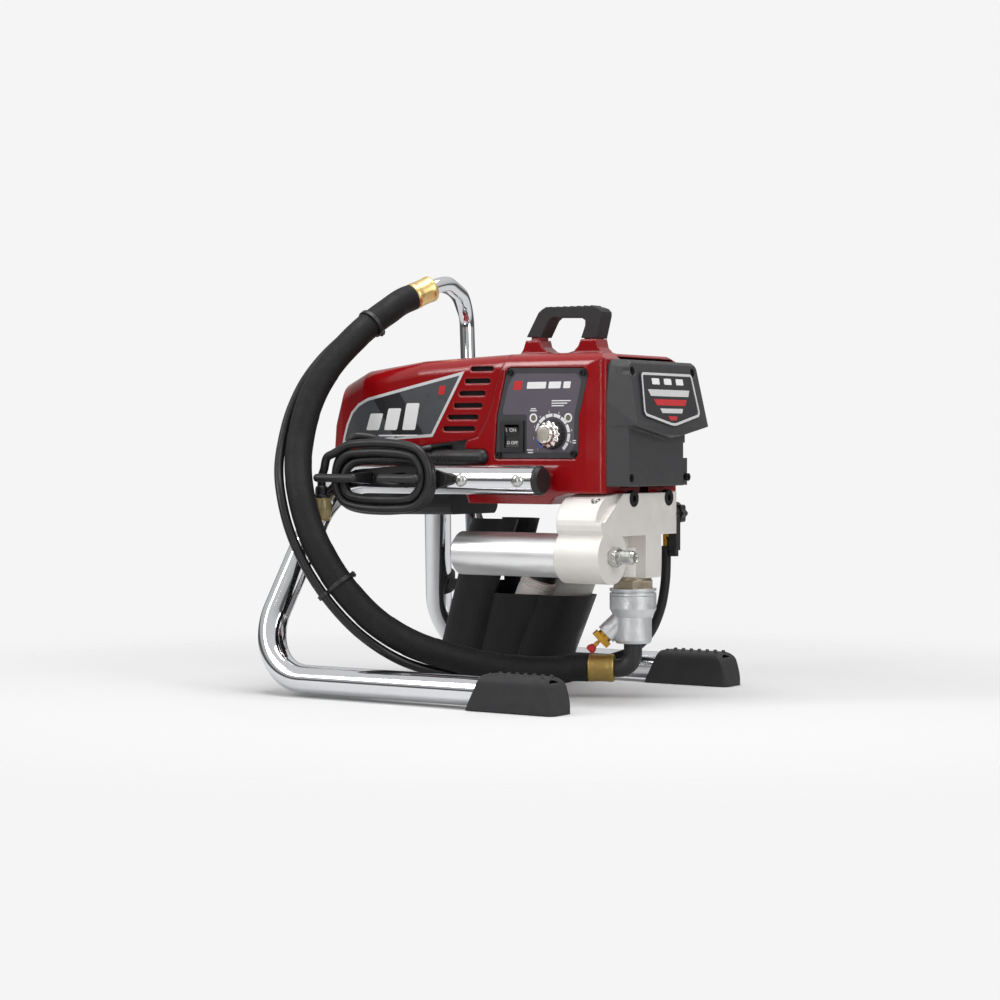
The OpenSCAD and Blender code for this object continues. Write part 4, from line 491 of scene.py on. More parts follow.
# chromed frame tubes, each swept in one run so that reflections flow through the bends
tubes = {"radius": 14.3, "bend": 58, "step": 4, "straightStep": 12, "sides": 72,
         "route": [(157, 165, 16.7), (-198.3, 165, 16.7), (-148.8, 91.5, 214.5), (101, 91.5, 214.5)]}


def filletPath(points, radius, step):
    # straight runs joined by arcs; everything in metres
    out = [points[0]]
    for a, b, c in zip(points, points[1:], points[2:]):
        u, v = (a - b).normalized(), (c - b).normalized()
        half = u.angle(v) / 2
        centre = b + (u + v).normalized() * radius / math.sin(half)
        reach = radius / math.tan(half)
        start, end = b + u * reach - centre, b + v * reach - centre
        count = max(2, round(start.angle(end) * radius / step))
        out += [centre + start.slerp(end, k / count).normalized() * radius for k in range(count + 1)]
    return out + [points[-1]]


def evenRuns(points, step):
    # cuts the straight runs up, so that no quad is very long
    out = []
    for a, b in zip(points, points[1:]):
        n = max(1, round((b - a).length / step))
        out += [a.lerp(b, k / n) for k in range(n)]
    return out + [points[-1]]


for side, name in ((-1, "right"), (1, "left")):
    corners = [mm(x, side * y, z) for x, y, z in tubes["route"]]
    route = filletPath(corners, tubes["bend"] / 1000, tubes["step"] / 1000)
    route = evenRuns(route, tubes["straightStep"] / 1000)
    tube = sweepTube(name + "FrameTube", route, tubes["radius"] / 1000, tubes["sides"])
    addPiece(tube, made["chromedSteel"])
    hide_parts(name + "_leg")
print("frame tubes bent")


# where the suction hose begins and ends: a ferrule on the elbow, and one on the siphon tube
elbow = {"corner": (150, 4, 29), "turn": 205, "reach": 18}
siphon = {"end": (-118, 3, 403), "way": (10, 24, 11)}
ferrule = {"length": 26, "sides": 96, "jaws": 8, "dent": 0.12, "crimped": (6, 21),
           "profile": [(10.5, 0), (13.0, 0.3), (13.7, 1.2), (13.85, 3), (13.85, 5.4), (13.6, 6.4), (13.5, 9),
                       (13.5, 18), (13.6, 20.8), (13.85, 21.6), (13.85, 24), (13.5, 25.2), (12.8, 25.9),
                       (10.5, 26)]}
elbowTurn = math.radians(elbow["turn"])
elbowWay = Vector((math.cos(elbowTurn), math.sin(elbowTurn), 0))
lowerFerrule = mm(*elbow["corner"]) + elbowWay * (elbow["reach"] / 1000)
upperFerrule, upperWay = mm(*siphon["end"]), Vector(siphon["way"]).normalized()

# suction hose, along the route of its CAD solid
suction = {"diameter": 27.5, "sides": 56, "step": 3, "straight": (16.5, 13.75), "loopMiddle": (-20, -60, 230),
           "route": [(86, -29, 26.5), (62, -44, 26.5), (37, -62, 29), (13, -80, 35), (-9, -100, 43),
                     (-28, -116, 52), (-46, -130, 64), (-68, -142, 83), (-92, -153, 112), (-112, -159, 143),
                     (-129, -158, 173), (-143, -152, 204), (-153, -143, 228), (-159, -132, 252),
                     (-161, -120, 280), (-158, -106, 308), (-152, -88, 333), (-144, -67, 355),
                     (-136, -44, 374), (-128, -22, 389)]}
hoseStart = lowerFerrule + elbowWay * ferrule["length"] / 1000
straightStart, straightEnd = [length / 1000 for length in suction["straight"]]
suctionPoints = ([hoseStart, hoseStart + elbowWay * straightStart] + [mm(*p) for p in suction["route"]]
                 + [upperFerrule - upperWay * straightEnd, upperFerrule])
suctionPath = smoothPath(suctionPoints, suction["step"] / 1000)

# spiral tape on it: a step where each turn overlaps the last, which falls over stepShare of a turn
tape = {"pitch": 52, "step": 0.7, "slope": 0.6, "edge": 0.5, "stepShare": 0.04,
        "weave": 2.3675, "weaveDepth": 0.2}


def tapeWrapped():
    # rubber hose cured under a spiral of nylon tape: matt, with the tape's weave and a seam at each turn
    material = buildFinish("tapeWrappedRubber", dict(
        colours=("#1B1B1C", "#131314"), patch=35, rough=(0.5, 0.66), fixed={"Specular IOR Level": 0.22}))
    tree = material.node_tree
    shader = next(n for n in tree.nodes if n.type == "BSDF_PRINCIPLED")
    along = addNode(tree, "UVMap", {"uv_map": "length"}).outputs[0]
    # a wave texture has 20 / 2 pi waves a unit; the weave is drawn at over 2 mm so that it shows
    scale = 2 * math.pi / 20 * 1000 / tape["weave"]
    weave, weft = [addNode(tree, "TexWave", {"bands_direction": axis}, Vector=along, Scale=scale,
                           Distortion=0.3).outputs["Fac"] for axis in "XY"]
    both = addNode(tree, "Math", {"operation": "MULTIPLY"}, in0=weave, in1=weft)
    bump = addNode(tree, "Bump", Height=both.outputs[0], Strength=0.9, Distance=tape["weaveDepth"] / 1000)
    tree.links.new(bump.outputs[0], shader.inputs["Normal"])
    return material


def tapeSkin(run, angle):
    # the tape rises along each turn and steps down where the next one starts
    pitch, step = tape["pitch"] / 1000, tape["step"] / 1000
    phase = (run / pitch + angle / (2 * math.pi)) % 1
    rise = max(0.0, 1 - phase / tape["stepShare"])
    return step * (phase - 0.5) * tape["slope"] + step * tape["edge"] * rise


suctionHose = sweepTube("suctionHose", suctionPath, suction["diameter"] / 2000, suction["sides"],
                        skin=tapeSkin)
addPiece(suctionHose, tapeWrapped())
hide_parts("suction_hose")

# return hose: down from the pump, along the suction hose's outside, and down the siphon tube to the cup;
# slip is its angle off that outside: (most, per point, counted from this point), at the start and the end
returnLine = {"diameter": 9.5, "sides": 24, "step": 3, "gap": 1.2, "slip": ((80, 16, 3), (60, 7, 13)),
              "start": [(158, 55, 148), (158, 55, 138), (157.5, 54, 112), (154, 50, 84), (146, 42, 60),
                        (133, 30, 44), (117, 15, 36)],
              "end": [(-129.5, 23, 404), (-123.5, 36, 411), (-120, 48, 415), (-125, 62, 416.5),
                      (-131, 78, 416.5), (-137, 94, 416), (-141.5, 108, 414), (-143.5, 120, 408.5),
                      (-144.5, 129, 398), (-143, 134.5, 384), (-141.5, 136, 365), (-135, 131.5, 305),
                      (-129.6, 128.4, 225), (-124, 128, 182), (-112, 126.8, 152), (-101, 121, 124),
                      (-98, 117, 80), (-97, 116, 56)]}


def hoseSides(i):
    # the suction hose's direction at a point of its route, and the way out of its loop
    tangent = (suctionPoints[min(i + 1, len(suctionPoints) - 1)] - suctionPoints[i - 1]).normalized()
    outward = suctionPoints[i] - mm(*suction["loopMiddle"])
    return tangent, (outward - tangent * outward.dot(tangent)).normalized()


def besideHose(i):
    # the thin hose runs on the outside of the loop and slips over to its far side near both ends
    tangent, outward = hoseSides(i)
    (startMost, startStep, leaves), (endMost, endStep, returns) = returnLine["slip"]
    startSlip = min(startMost, startMost - (i - leaves) * startStep)
    a = math.radians(max(0, startSlip, min(endMost, (i - returns) * endStep)))
    apart = (suction["diameter"] / 2 + returnLine["diameter"] / 2 + returnLine["gap"]) / 1000
    return suctionPoints[i] + (outward * math.cos(a) + outward.cross(tangent) * math.sin(a)) * apart


returnPoints = ([mm(*p) for p in returnLine["start"]] + [besideHose(i) for i in range(2, len(suctionPoints))]
                + [mm(*p) for p in returnLine["end"]])
returnPath = smoothPath(returnPoints, returnLine["step"] / 1000)
returnHose = sweepTube("returnHose", returnPath, returnLine["diameter"] / 2000, returnLine["sides"],
                       side=(1, 0, 0))
addPiece(returnHose, buildFinish("smoothHoseRubber", dict(
    # extruded EPDM hose: dark, a soft gloss and small flow lines
    colours=("#141415", "#1B1B1C"), patch=20, rough=(0.3, 0.42), grain=(("noise", 3, 0.03),),
    fixed={"Specular IOR Level": 0.35})))
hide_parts("return_hose")

# mains lead: out of its strain relief, through the winding on the cord wrap, and out to the plug
lead = {"diameter": 8.5, "sides": 20, "step": 2.5,
        "start": [(-36, -71, 237), (-45, -71, 237), (-56, -75, 239), (-68, -84, 245), (-79, -95, 251),
                  (-90, -107, 256)],
        "end": [(-134, -125, 224.5), (-138, -124, 216.5), (-138, -124, 208)]}
# two oblong spirals, one beside the other, outside the rail: the first winds inwards, the second outwards
winding = {"turns": 4, "perTurn": 24, "startAngle": 130, "gap": 0.7, "radius": 36, "straight": 27.5,
           "squareness": 2.2, "x": -64, "z": 216, "fromRail": 6}


def coilPoint(k):
    turns, pitch = winding["turns"], lead["diameter"] + winding["gap"]
    t, a = k / winding["perTurn"], math.radians(winding["startAngle"] + k * 360 / winding["perTurn"])
    radius = winding["radius"] - pitch * min(t, turns - t)
    layer = max(0, min(1, (t - turns / 2) * 2 + 0.5))  # changes over half a turn, halfway
    railSide = tubes["route"][-1][1] + tubes["radius"]
    y = -railSide - winding["fromRail"] - lead["diameter"] / 2 - layer * pitch
    stretch = winding["straight"] * max(-1, min(1, math.cos(a) * winding["squareness"]))
    return mm(winding["x"] + radius * math.cos(a) + stretch, y, winding["z"] + radius * math.sin(a))


coil = [coilPoint(k) for k in range(winding["turns"] * winding["perTurn"] + 1)]
runIn = (coil[0] - coil[1]).normalized() * (lead["diameter"] / 1000)
runOut = (coil[-1] - coil[-2]).normalized() * (lead["diameter"] / 1000)
leadPoints = ([mm(*p) for p in lead["start"]] + [coil[0] + runIn + runIn, coil[0] + runIn] + coil
              + [coil[-1] + runOut, coil[-1] + runOut + runOut] + [mm(*p) for p in lead["end"]])
leadPath = smoothPath(leadPoints, lead["step"] / 1000)
mainsLead = sweepTube("mainsLead", leadPath, lead["diameter"] / 2000, lead["sides"], side=(0, 1, 0))
addPiece(mainsLead, buildFinish("leadPvc", dict(
    # extruded PVC jacket: satin black with slight bloom where it was handled
    colours=("#18181A", "#212123"), patch=22, rough=(0.34, 0.48), grain=(("noise", 2.2, 0.03),),
    fixed={"Specular IOR Level": 0.4})))
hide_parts("cord_runs", "cord_coil")
print("hoses and lead laid")


# mains plug: dark collar, clear straw-coloured body with finger ribs, and the ends of two blades
plug = {"top": mm(-138, -124, 208), "ribs": 8, "ribDepth": 0.7, "ribbed": (9, 21),
        "collar": [(4.4, 0), (5.2, 0.4), (6.2, 2), (6.5, 4), (6.5, 8.5), (9, 9.6), (9.2, 11.5), (8.4, 12.2)],
        "body": [(8.3, 12), (9.0, 12.4), (9.6, 13.5), (9.9, 16), (10.4, 19), (10.8, 22.5), (10.8, 25),
                 (10.2, 28), (9.2, 32), (8.6, 34.4), (8.1, 35), (0.5, 35.2)],
        "bladeApart": 5.2, "bladeHalf": (0.8, 3), "bladeEnds": (35.8, 34)}


def plugRibs(r, h, a):
    low, high = plug["ribbed"]
    return -plug["ribDepth"] * max(0, math.sin(a * plug["ribs"])) if low < h < high else 0


plugCollar = lathe("plugCollar", plug["collar"], plug["top"], (0, 0, -1), 40)
addPiece(plugCollar, made["blackNylon"])
plugBody = lathe("plugBody", plug["body"], plug["top"], (0, 0, -1), 64, bump=plugRibs)
addPiece(plugBody, buildFinish("strawPolycarbonate", dict(
    # moulded polycarbonate with a straw tint: light passes and shows the dark conductors as a haze
    colours=("#C9B98A", "#A8935C"), patch=6, rough=(0.14, 0.26), edge=0.5,
    fixed={"Transmission Weight": 0.45, "IOR": 1.5})))
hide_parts("power_plug")


def box(bm, low, high):
    corners = [bm.verts.new((x, y, z)) for x in (low[0], high[0]) for y in (low[1], high[1])
               for z in (low[2], high[2])]
    for f in ((0, 1, 3, 2), (4, 6, 7, 5), (0, 4, 5, 1), (2, 3, 7, 6), (0, 2, 6, 4), (1, 5, 7, 3)):
        bm.faces.new([corners[i] for i in f])


bm = bmesh.new()
halfX, halfY = [size / 1000 for size in plug["bladeHalf"]]
low, high = [plug["top"].z - depth / 1000 for depth in plug["bladeEnds"]]
for side in (-1, 1):
    x, y = plug["top"].x + side * plug["bladeApart"] / 1000, plug["top"].y
    box(bm, (x - halfX, y - halfY, low), (x + halfX, y + halfY, high))
plugBlades = fromBmesh("plugBlades", bm)
addPiece(plugBlades, made["nickelledBrass"])


# crimped brass ferrules at both ends of the suction hose
def crimp(r, h, a):
    # the jaws press shallow flats into the middle of the sleeve
    low, high = ferrule["crimped"]
    return -ferrule["dent"] * abs(math.sin(a * ferrule["jaws"] / 2)) if low < h < high else 0


ferruleBelow, ferruleAbove = [
    addPiece(lathe(name, ferrule["profile"], place, way, ferrule["sides"], 40, bump=crimp), made[finish])
    for name, place, way, finish in (("ferruleBelow", lowerFerrule, elbowWay, "darkBrownBrass"),
                                     ("ferruleAbove", upperFerrule, upperWay, "lacqueredBrass"))]
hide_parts("hose_ferrules")

pathLength(suctionPath)
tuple(returnPoints[0])
pathLength(returnPath)
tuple(leadPoints[0])
pathLength(leadPath)
print("cords declared:", [round(pathLength(path), 3) for path in (suctionPath, returnPath, leadPath)])


# heads of the two straps that hold the hoses together, on the inside of the loop
strap = {"points": (10, len(suctionPoints) - 4), "fromAxis": 16.2, "size": (3.5, 6.5, 5.8), "bevel": 0.8}
thick, wide, tall = [size / 1000 for size in strap["size"]]
for index, i in enumerate(strap["points"]):
    tangent, outward = hoseSides(i)
    inward = -outward
    sideways = tangent.cross(inward)
    bm = bmesh.new()
    bmesh.ops.create_cube(bm, size=1)
    for v in bm.verts:
        v.co = (suctionPoints[i] + inward * (strap["fromAxis"] / 1000 + v.co.x * thick)
                + sideways * (v.co.y * wide) + tangent * (v.co.z * tall))
    bmesh.ops.bevel(bm, geom=bm.edges[:], offset=strap["bevel"] / 1000, segments=2, affect="EDGES")
    addPiece(fromBmesh("strapHead%d" % (index + 1), bm), made["blackNylon"])
print("fittings made")


# graphic on both sides of the shroud: silver rim, graphite field, a darker stripe, bars, a line and a mark
graphic = {"outline": [(-164, 250), (-161.5, 259), (-157, 271), (-150, 283), (-140, 291), (-126, 297),
                       (-1, 322), (-41, 257)],
           "shade": [(-118, 295.2), (-84, 302.2), (-52, 259.6), (-90, 256.2)],
           "bars": [bar(x, 264, 17, height, 6) for x, height in ((-128, 17), (-104, 22), (-80, 27))],
           "line": bar(-112, 257.6, 52, 1.6, 0.5), "mark": bar(-34, 299, 8, 9, 2.2), "rim": 3.0, "cell": 9,
           "clearOfShroud": 75}
graphicLayers = [  # name, finish, outlines, height over the shroud, thickness
    ("graphicRim", "decalSilver", [graphic["outline"]], 0.1, 0.2),
    ("graphicField", "decalGraphite", [insetOutline(graphic["outline"], graphic["rim"])], 0.34, 0.1),
    ("graphicShade", "decalBlack", [graphic["shade"]], 0.46, 0.06),
    ("graphicBars", "inkWhite", [roundedOutline(outline, 2) for outline in graphic["bars"]], 0.56, 0.1),
    ("graphicLine", "inkWhite", [graphic["line"]], 0.56, 0.08),
    ("graphicMark", "inkRed", [roundedOutline(graphic["mark"], 1.5)], 0.46, 0.1),
]
for side, tag in ((-1, "Right"), (1, "Left")):
    drop = onSurface("motor_shroud", (0, -side, 0), lambda u, v: mm(u, side * graphic["clearOfShroud"], v))
    for name, finish, outlines, lift, thickness in graphicLayers:
        foil(name + tag, finish, outlines, drop, lift, thickness, graphic["cell"])
print("shroud graphics laid")


# black sheet inside the shroud, seen through its slots, as painted shade for the dark inside; shroudForm is
# the shroud's half width, corner radius and top at its front, each with what it gains over shroudReach
shadeSheet = {"outline": [(-46, 257), (-16, 322), (46, 330), (46, 322), (10, 257)], "behind": 4.2,
          "thickness": 0.5, "cell": 7, "shroudFront": 52, "shroudReach": 112,
          "shroudForm": ((71, -4), (14, 2), (338, -4.5))}
for side, tag in ((-1, "Right"), (1, "Left")):
    def insideShroud(u, v, lift):
        t = (shadeSheet["shroudFront"] - u) / shadeSheet["shroudReach"]
        half, corner, top = [start + gain * t for start, gain in shadeSheet["shroudForm"]]
        r = corner - shadeSheet["behind"] + lift
        up = max(0.0, v - (top - corner))
        return mm(u, side * (half - corner + math.sqrt(max(0.0, r * r - up * up))), v)
    foil("slotPaintedShade" + tag, "paintedShadeBlack", [shadeSheet["outline"]], insideShroud, 0, shadeSheet["thickness"],
         shadeSheet["cell"])
print("slots backed")


# printed foil and marks of the control panel, in the panel's own X and Z; its face looks along -Y
panel = {"face": -71, "rocker": (57.5, 257), "knob": (104, 259), "lamps": [(82, 275), (122, 275)],
         "field": [(46.2, 278.5), (46.5, 284), (53, 308), (60, 318.6), (132, 317.4), (137, 311), (132.5, 291),
                   (129, 278), (128.3, 247), (124, 241.5), (74.5, 241.5), (74.5, 278.5)],
         "knobHole": 14.4, "lampHole": 2.7, "lampRing": (2.9, 4.5), "dial": (17.0, 20.2), "dialArc": 24,
         "dialAngles": (-50, -22, 6, 34, 62, 90, 118, 146), "cold": (16.6, 19.0, 176, 226),
         "mark": bar(58, 302.5, 10, 9, 1.6),
         "bars": [bar(x, 303.5, width, 6.5, 1.2) for x, width in ((74, 22), (99, 14), (116, 8))],
         "dashes": [bar(103, 291 - 2.4 * i, 22 - 4 * i, 1.0) for i in range(3)]
         + [bar(79, 283.5, 6, 0.9), bar(78, 281.6, 8, 0.9), bar(74.5, 243.4, 7, 0.9),
            bar(75.5, 240.9, 6, 0.9), bar(127, 252.5, 4, 0.9), bar(127, 250.3, 4, 0.9)],
         "fieldLift": 0.02, "fieldThickness": 0.1, "inkLift": 0.13}


def onPanel(u, v, lift):
    return mm(u, panel["face"] - lift, v)


fieldHoles = [circle(*panel["knob"], panel["knobHole"], 48)]
fieldHoles += [circle(*place, panel["lampHole"]) for place in panel["lamps"]]
foil("panelField", "printedFoil", [roundedOutline(panel["field"], 2.5)], onPanel, panel["fieldLift"],
     panel["fieldThickness"], holes=fieldHoles)
lampRings = [arcBand(*place, *panel["lampRing"], 0, 359.9, 32) for place in panel["lamps"]]  # all but closed
dialArcs = [arcBand(*panel["knob"], *panel["dial"], a, a + panel["dialArc"], 6) for a in panel["dialAngles"]]
panelInks = [  # name, finish, outlines, thickness
    ("lampRings", "inkWhite", lampRings, 0.08),
    ("dialArcs", "inkWhite", dialArcs, 0.08),
    ("dialCold", "inkBlue", [arcBand(*panel["knob"], *panel["cold"], 12)], 0.08),
    ("panelMark", "inkRed", [roundedOutline(panel["mark"], 2)], 0.08),
    ("panelBars", "inkWhite", [roundedOutline(outline, 1) for outline in panel["bars"]], 0.08),
    ("panelDashes", "inkWhite", panel["dashes"], 0.06),
]
for name, finish, outlines, thickness in panelInks:
    foil(name, finish, outlines, onPanel, panel["inkLift"], thickness)


letterHeights = (0.02, 0.12)  # underside and top over the surface


def letters(name, text, size, x, z, place, body="base"):
    # white letters from Blender's own font, centred on a point of the drawing
    curve = bpy.data.curves.new(name, "FONT")
    curve.body, curve.size, curve.align_x, curve.align_y = text, size, "CENTER", "CENTER"
    curve.resolution_u = 3
    holder = bpy.data.objects.new(name, curve)
    scene.collection.objects.link(holder)
    bpy.context.view_layer.update()
    mesh = bpy.data.meshes.new_from_object(holder)
    bpy.data.objects.remove(holder)
    bm = bmesh.new()
    bm.from_mesh(mesh)
    bmesh.ops.triangulate(bm, faces=bm.faces[:])
    pressOn(bm, place, *letterHeights, x, z)
    addPiece(fromBmesh(name, bm, 30), made["inkWhite"], body)


def onField(u, v, lift):
    return onPanel(u, v, lift + panel["fieldLift"] + panel["fieldThickness"])


# words on the rocker, above and below its axle, and numbers round the knob
words = {"fromAxle": 6.2, "onSize": 5.0, "offSize": 4.6, "clearOfRocker": -90}
numbers = {"count": 9, "size": 2.8, "radius": 22.1, "firstAngle": 220, "angleStep": 30}
onRocker = onSurface("rocker", (0, 1, 0), lambda u, v: mm(u, words["clearOfRocker"], v))
x, z = panel["rocker"]
letters("rockerOn", "I  ON", words["onSize"], x, z + words["fromAxle"], onRocker, "rocker")
letters("rockerOff", "O OFF", words["offSize"], x, z - words["fromAxle"], onRocker, "rocker")
for index in range(numbers["count"]):
    a = math.radians(numbers["firstAngle"] - index * numbers["angleStep"])
    x = panel["knob"][0] + numbers["radius"] * math.cos(a)
    z = panel["knob"][1] + numbers["radius"] * math.sin(a)
    letters("dialNumber%d" % (index + 1), str(index + 1), numbers["size"], x, z, onField)
print("panel printed")


# pressure knob: black fluted skirt, chromed lobes over it, waist and crown with a brushed face
knobParts = {"flutes": 24, "fluteDepth": 0.9, "fluteRoundness": 0.6, "fluted": (1.2, 6.6),
             "lobes": 12, "lobeDepth": 1.5, "lobeRoundness": 1.5, "lobeTop": 10.4, "waist": 9.4,
             "proud": 0.3, "sides": 192,
             "skirt": [(3, -14), (3, -0.1), (14.0, 0), (14.5, 0.4), (14.5, 1.0), (14.5, 1.3), (14.4, 4),
                       (14.2, 6.5), (13.8, 6.8), (11, 7.0), (4, 7.1)],
             "cap": [(4, 6.4), (12.6, 6.5), (13.1, 6.9), (13.2, 7.4), (13.0, 8.0), (12.4, 8.6), (11.4, 9.2),
                     (10.3, 9.8), (9.4, 10.5), (9.0, 11.4), (8.9, 12.4), (9.2, 13.3), (9.3, 14.4),
                     (9.1, 15.5), (8.4, 16.3), (7.5, 16.7), (6.7, 16.4)],
             "face": [(6.7, 16.2), (6.6, 16.5), (6.2, 16.6), (3, 16.5), (0.4, 16.5)]}
knobPlace = mm(panel["knob"][0], panel["face"] - knobParts["proud"], panel["knob"][1])


def knobFlutes(r, h, a):
    low, high = knobParts["fluted"]
    wave = abs(math.sin(a * knobParts["flutes"] / 2)) ** knobParts["fluteRoundness"]
    return -knobParts["fluteDepth"] * (1 - wave) if low < h < high and r > 12 else 0


def knobLobes(r, h, a):
    # the grooves run out towards the waist
    wave = abs(math.cos(a * knobParts["lobes"] / 2)) ** knobParts["lobeRoundness"]
    depth = knobParts["lobeDepth"] * (1 - wave) * min(1, (r - knobParts["waist"]) / 2)
    return -depth if h < knobParts["lobeTop"] and r > knobParts["waist"] else 0


knobAxis = (0, -1, 0)
knobSkirt = lathe("knobSkirt", knobParts["skirt"], knobPlace, knobAxis, knobParts["sides"], 50,
                  bump=knobFlutes)
addPiece(knobSkirt, made["blackNylon"], "knob")
pressureKnob = lathe("pressureKnob", knobParts["cap"], knobPlace, knobAxis, knobParts["sides"], 50,
                     bump=knobLobes)
addPiece(pressureKnob, made["chromedAbs"], "knob")
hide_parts("pressure_knob")
knobFace = lathe("knobFace", knobParts["face"], knobPlace, knobAxis, 48, 50)
addPiece(knobFace, made["brushedAbs"], "knob")


# badge on the front cover, drawn from its middle: silver rim, dark field, plain stepped bars;
# slope is how far the cover's face leans back over a height
badge = {"outline": [(-47, 22.5), (47, 22.5), (50, 19), (55, -17), (52, -22), (4, -31.5), (-4, -31.5),
                     (-52, -22), (-55, -17), (-50, 19)],
         "middle": (192, 0, 297), "slope": (11, 62), "inset": 1.2, "rim": 2.4, "lift": 0.95,
         "rimThickness": 1.0, "fieldThickness": 0.35, "barLift": 1.3, "barThickness": 0.25,
         "grey": [[(-40, 5), (40, 5), (36, -1.5), (-36, -1.5)],
                  [(-22, -13.5), (22, -13.5), (19, -18), (-19, -18)]],
         "red": [[(-32, -4.5), (32, -4.5), (27, -10.5), (-27, -10.5)],
                 [(-9, -21), (9, -21), (6, -25), (-6, -25)]],
         "white": [bar(x, 10, 14, 6) for x in (-30, -7, 16)]}
badgeFrame = (Matrix.Translation(mm(*badge["middle"]))
              @ Matrix.Rotation(math.radians(90) - math.atan2(*badge["slope"]), 4, "Y")
              @ Matrix.Rotation(math.radians(90), 4, "Z"))


def onBadge(u, v, lift):
    return badgeFrame @ (Vector((u, v, lift)) / 1000)


rimOuter = roundedOutline(insetOutline(badge["outline"], badge["inset"]), 4)
rimInner = roundedOutline(insetOutline(badge["outline"], badge["inset"] + badge["rim"]), 3.2)
foil("badgeRim", "decalSilver", [rimOuter], onBadge, badge["lift"], badge["rimThickness"], holes=[rimInner])
foil("badgeField", "decalBlack", [rimInner], onBadge, badge["lift"], badge["fieldThickness"])
whiteBars = [roundedOutline(outline, 1) for outline in badge["white"]]
for name, finish, outlines in (("badgeBarsGrey", "decalSilver", badge["grey"]),
                               ("badgeBarsRed", "inkRed", badge["red"]),
                               ("badgeBarsWhite", "inkWhite", whiteBars)):
    foil(name, finish, outlines, onBadge, badge["barLift"], badge["barThickness"])
print("badge made")


# threaded paint outlet: hexagon, neck, thread turns and a chamfered nose with its bore
outlet = {"place": mm(172.5, -72, 142), "flats": 17, "hexTop": 8.1, "bore": 2.8, "root": -8.9,
          "thread": 6.7, "pitch": 1.4, "depth": 0.55, "turns": (11.5, 22.5), "ringStep": 0.2, "rings": 56}


def outletForm(r, h, a):
    # the hexagon's flats, then the helix of the thread
    if h < outlet["hexTop"] and r > outlet["flats"] / 2 + 0.1:
        return outlet["flats"] / 2 / math.cos((a + math.pi / 6) % (math.pi / 3) - math.pi / 6) - r
    low, high = outlet["turns"]
    wave = math.cos((h / outlet["pitch"] - a / 2 / math.pi) * 2 * math.pi) - 1
    return outlet["depth"] * wave if low < h < high and r > 6 else 0


threadStart = outlet["turns"][0]
outletProfile = ([(outlet["bore"], outlet["root"]), (6.6, outlet["root"]), (6.6, 0), (8.5, 0.02), (9.2, 0.5),
                  (9.2, 7.2), (8.5, 8.0), (5.6, 8.2), (5.6, 10.8), (6.5, 11.2)]
                 + [(outlet["thread"], threadStart + i * outlet["ringStep"]) for i in range(outlet["rings"])]
                 + [(6.6, 22.8), (5.3, 25.8), (4.6, 25.9), (2.9, 23), (outlet["bore"], 10),
                    (outlet["bore"], outlet["root"] + 0.1)])
paintOutlet = lathe("paintOutlet", outletProfile, outlet["place"], (1, 0, 0), 96, 40, bump=outletForm)
addPiece(paintOutlet, made["zincPlatedSteel"])
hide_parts("outlet_fitting")
print("outlet cut")


# pusher: thin brass pin with a small faceted red button, on the inlet's slanted branch
pusher = {"root": mm(150, 4, 88), "turn": 214, "tilt": 44,
          "pin": [(1.6, 23), (2.1, 23.4), (2.1, 46.4), (1.6, 46.8), (1.6, 48.2), (2.1, 48.6), (2.1, 52.8),
                  (1.2, 53.4)],
          "button": [(2.4, 52.6), (3.2, 53.2), (4.6, 56.2), (4.7, 58.4), (3.5, 60.3), (0.5, 60.4)]}
turned, tilted = math.radians(pusher["turn"]), math.radians(pusher["tilt"])
level = math.cos(tilted)
pusherWay = Vector((math.cos(turned) * level, math.sin(turned) * level, -math.sin(tilted)))
pusherPin = lathe("pusherPin", pusher["pin"], pusher["root"], pusherWay, 32)
addPiece(pusherPin, made["turnedBrass"], "pusher")
pusherButton = lathe("pusherButton", pusher["button"], pusher["root"], pusherWay, 8, 15)
addPiece(pusherButton, made["redPvc"], "pusher")
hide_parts("pusher_button")


# what stands in the cup leans with it, by this much over a height of 1
cup = {"lean": 0.43, "y": 105, "floor": 28, "wall": 2.5, "clearance": 0.3}
lean = Vector((cup["lean"], 0, 1)).normalized()


def standPlace(x, radius):
    return mm(x, cup["y"], cup["floor"] + cup["wall"] + cup["clearance"] + radius * lean.x)


# oil bottle with its thread, and its cap
bottle = {"x": -54, "radius": 20, "threadPitch": 3, "threadDepth": 0.5, "thread": (66, 75), "capRibs": 36,
          "capRibDepth": 0.3, "capRibbed": (80, 93),
          "cap": [(14, 76.5), (17.4, 76.7), (17.6, 78), (17.6, 92.6), (17.2, 94.4), (15.5, 95.6),
                  (0.5, 95.8)]}


def bottleThread(r, h, a):
    low, high = bottle["thread"]
    wave = math.sin((h / bottle["threadPitch"] + a / 2 / math.pi) * 2 * math.pi)
    return bottle["threadDepth"] * wave if low < h < high else 0


def capRibs(r, h, a):
    low, high = bottle["capRibbed"]
    return bottle["capRibDepth"] * math.cos(a * bottle["capRibs"]) if low < h < high and r > 15 else 0


bottlePlace = standPlace(bottle["x"], bottle["radius"])
bottleProfile = ([(17.5, 0.2), (19.4, 1.2), (20, 4), (20, 60), (19.7, 63), (19.2, 65)]
                 + [(19.2, 66 + i * 0.5) for i in range(19)] + [(18, 75.8), (16, 76.2), (0.5, 76.4)])
oilBottle = lathe("oilBottle", bottleProfile, bottlePlace, lean, 64, bump=bottleThread)
addPiece(oilBottle, buildFinish("milkyPolyethylene", dict(
    # blow-moulded polyethylene: milky white, soft edges, faintly uneven walls
    colours=("#ECE7E2", "#DED7D1"), patch=16, rough=(0.35, 0.5), grain=(("noise", 5, 0.05),),
    fixed={"Subsurface Weight": 0.25, "Subsurface Scale": 0.004})))
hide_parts("oil_bottle")
bottleCap = lathe("bottleCap", bottle["cap"], bottlePlace, lean, 144, 40, bump=capRibs)
addPiece(bottleCap, made["blackNylon"])

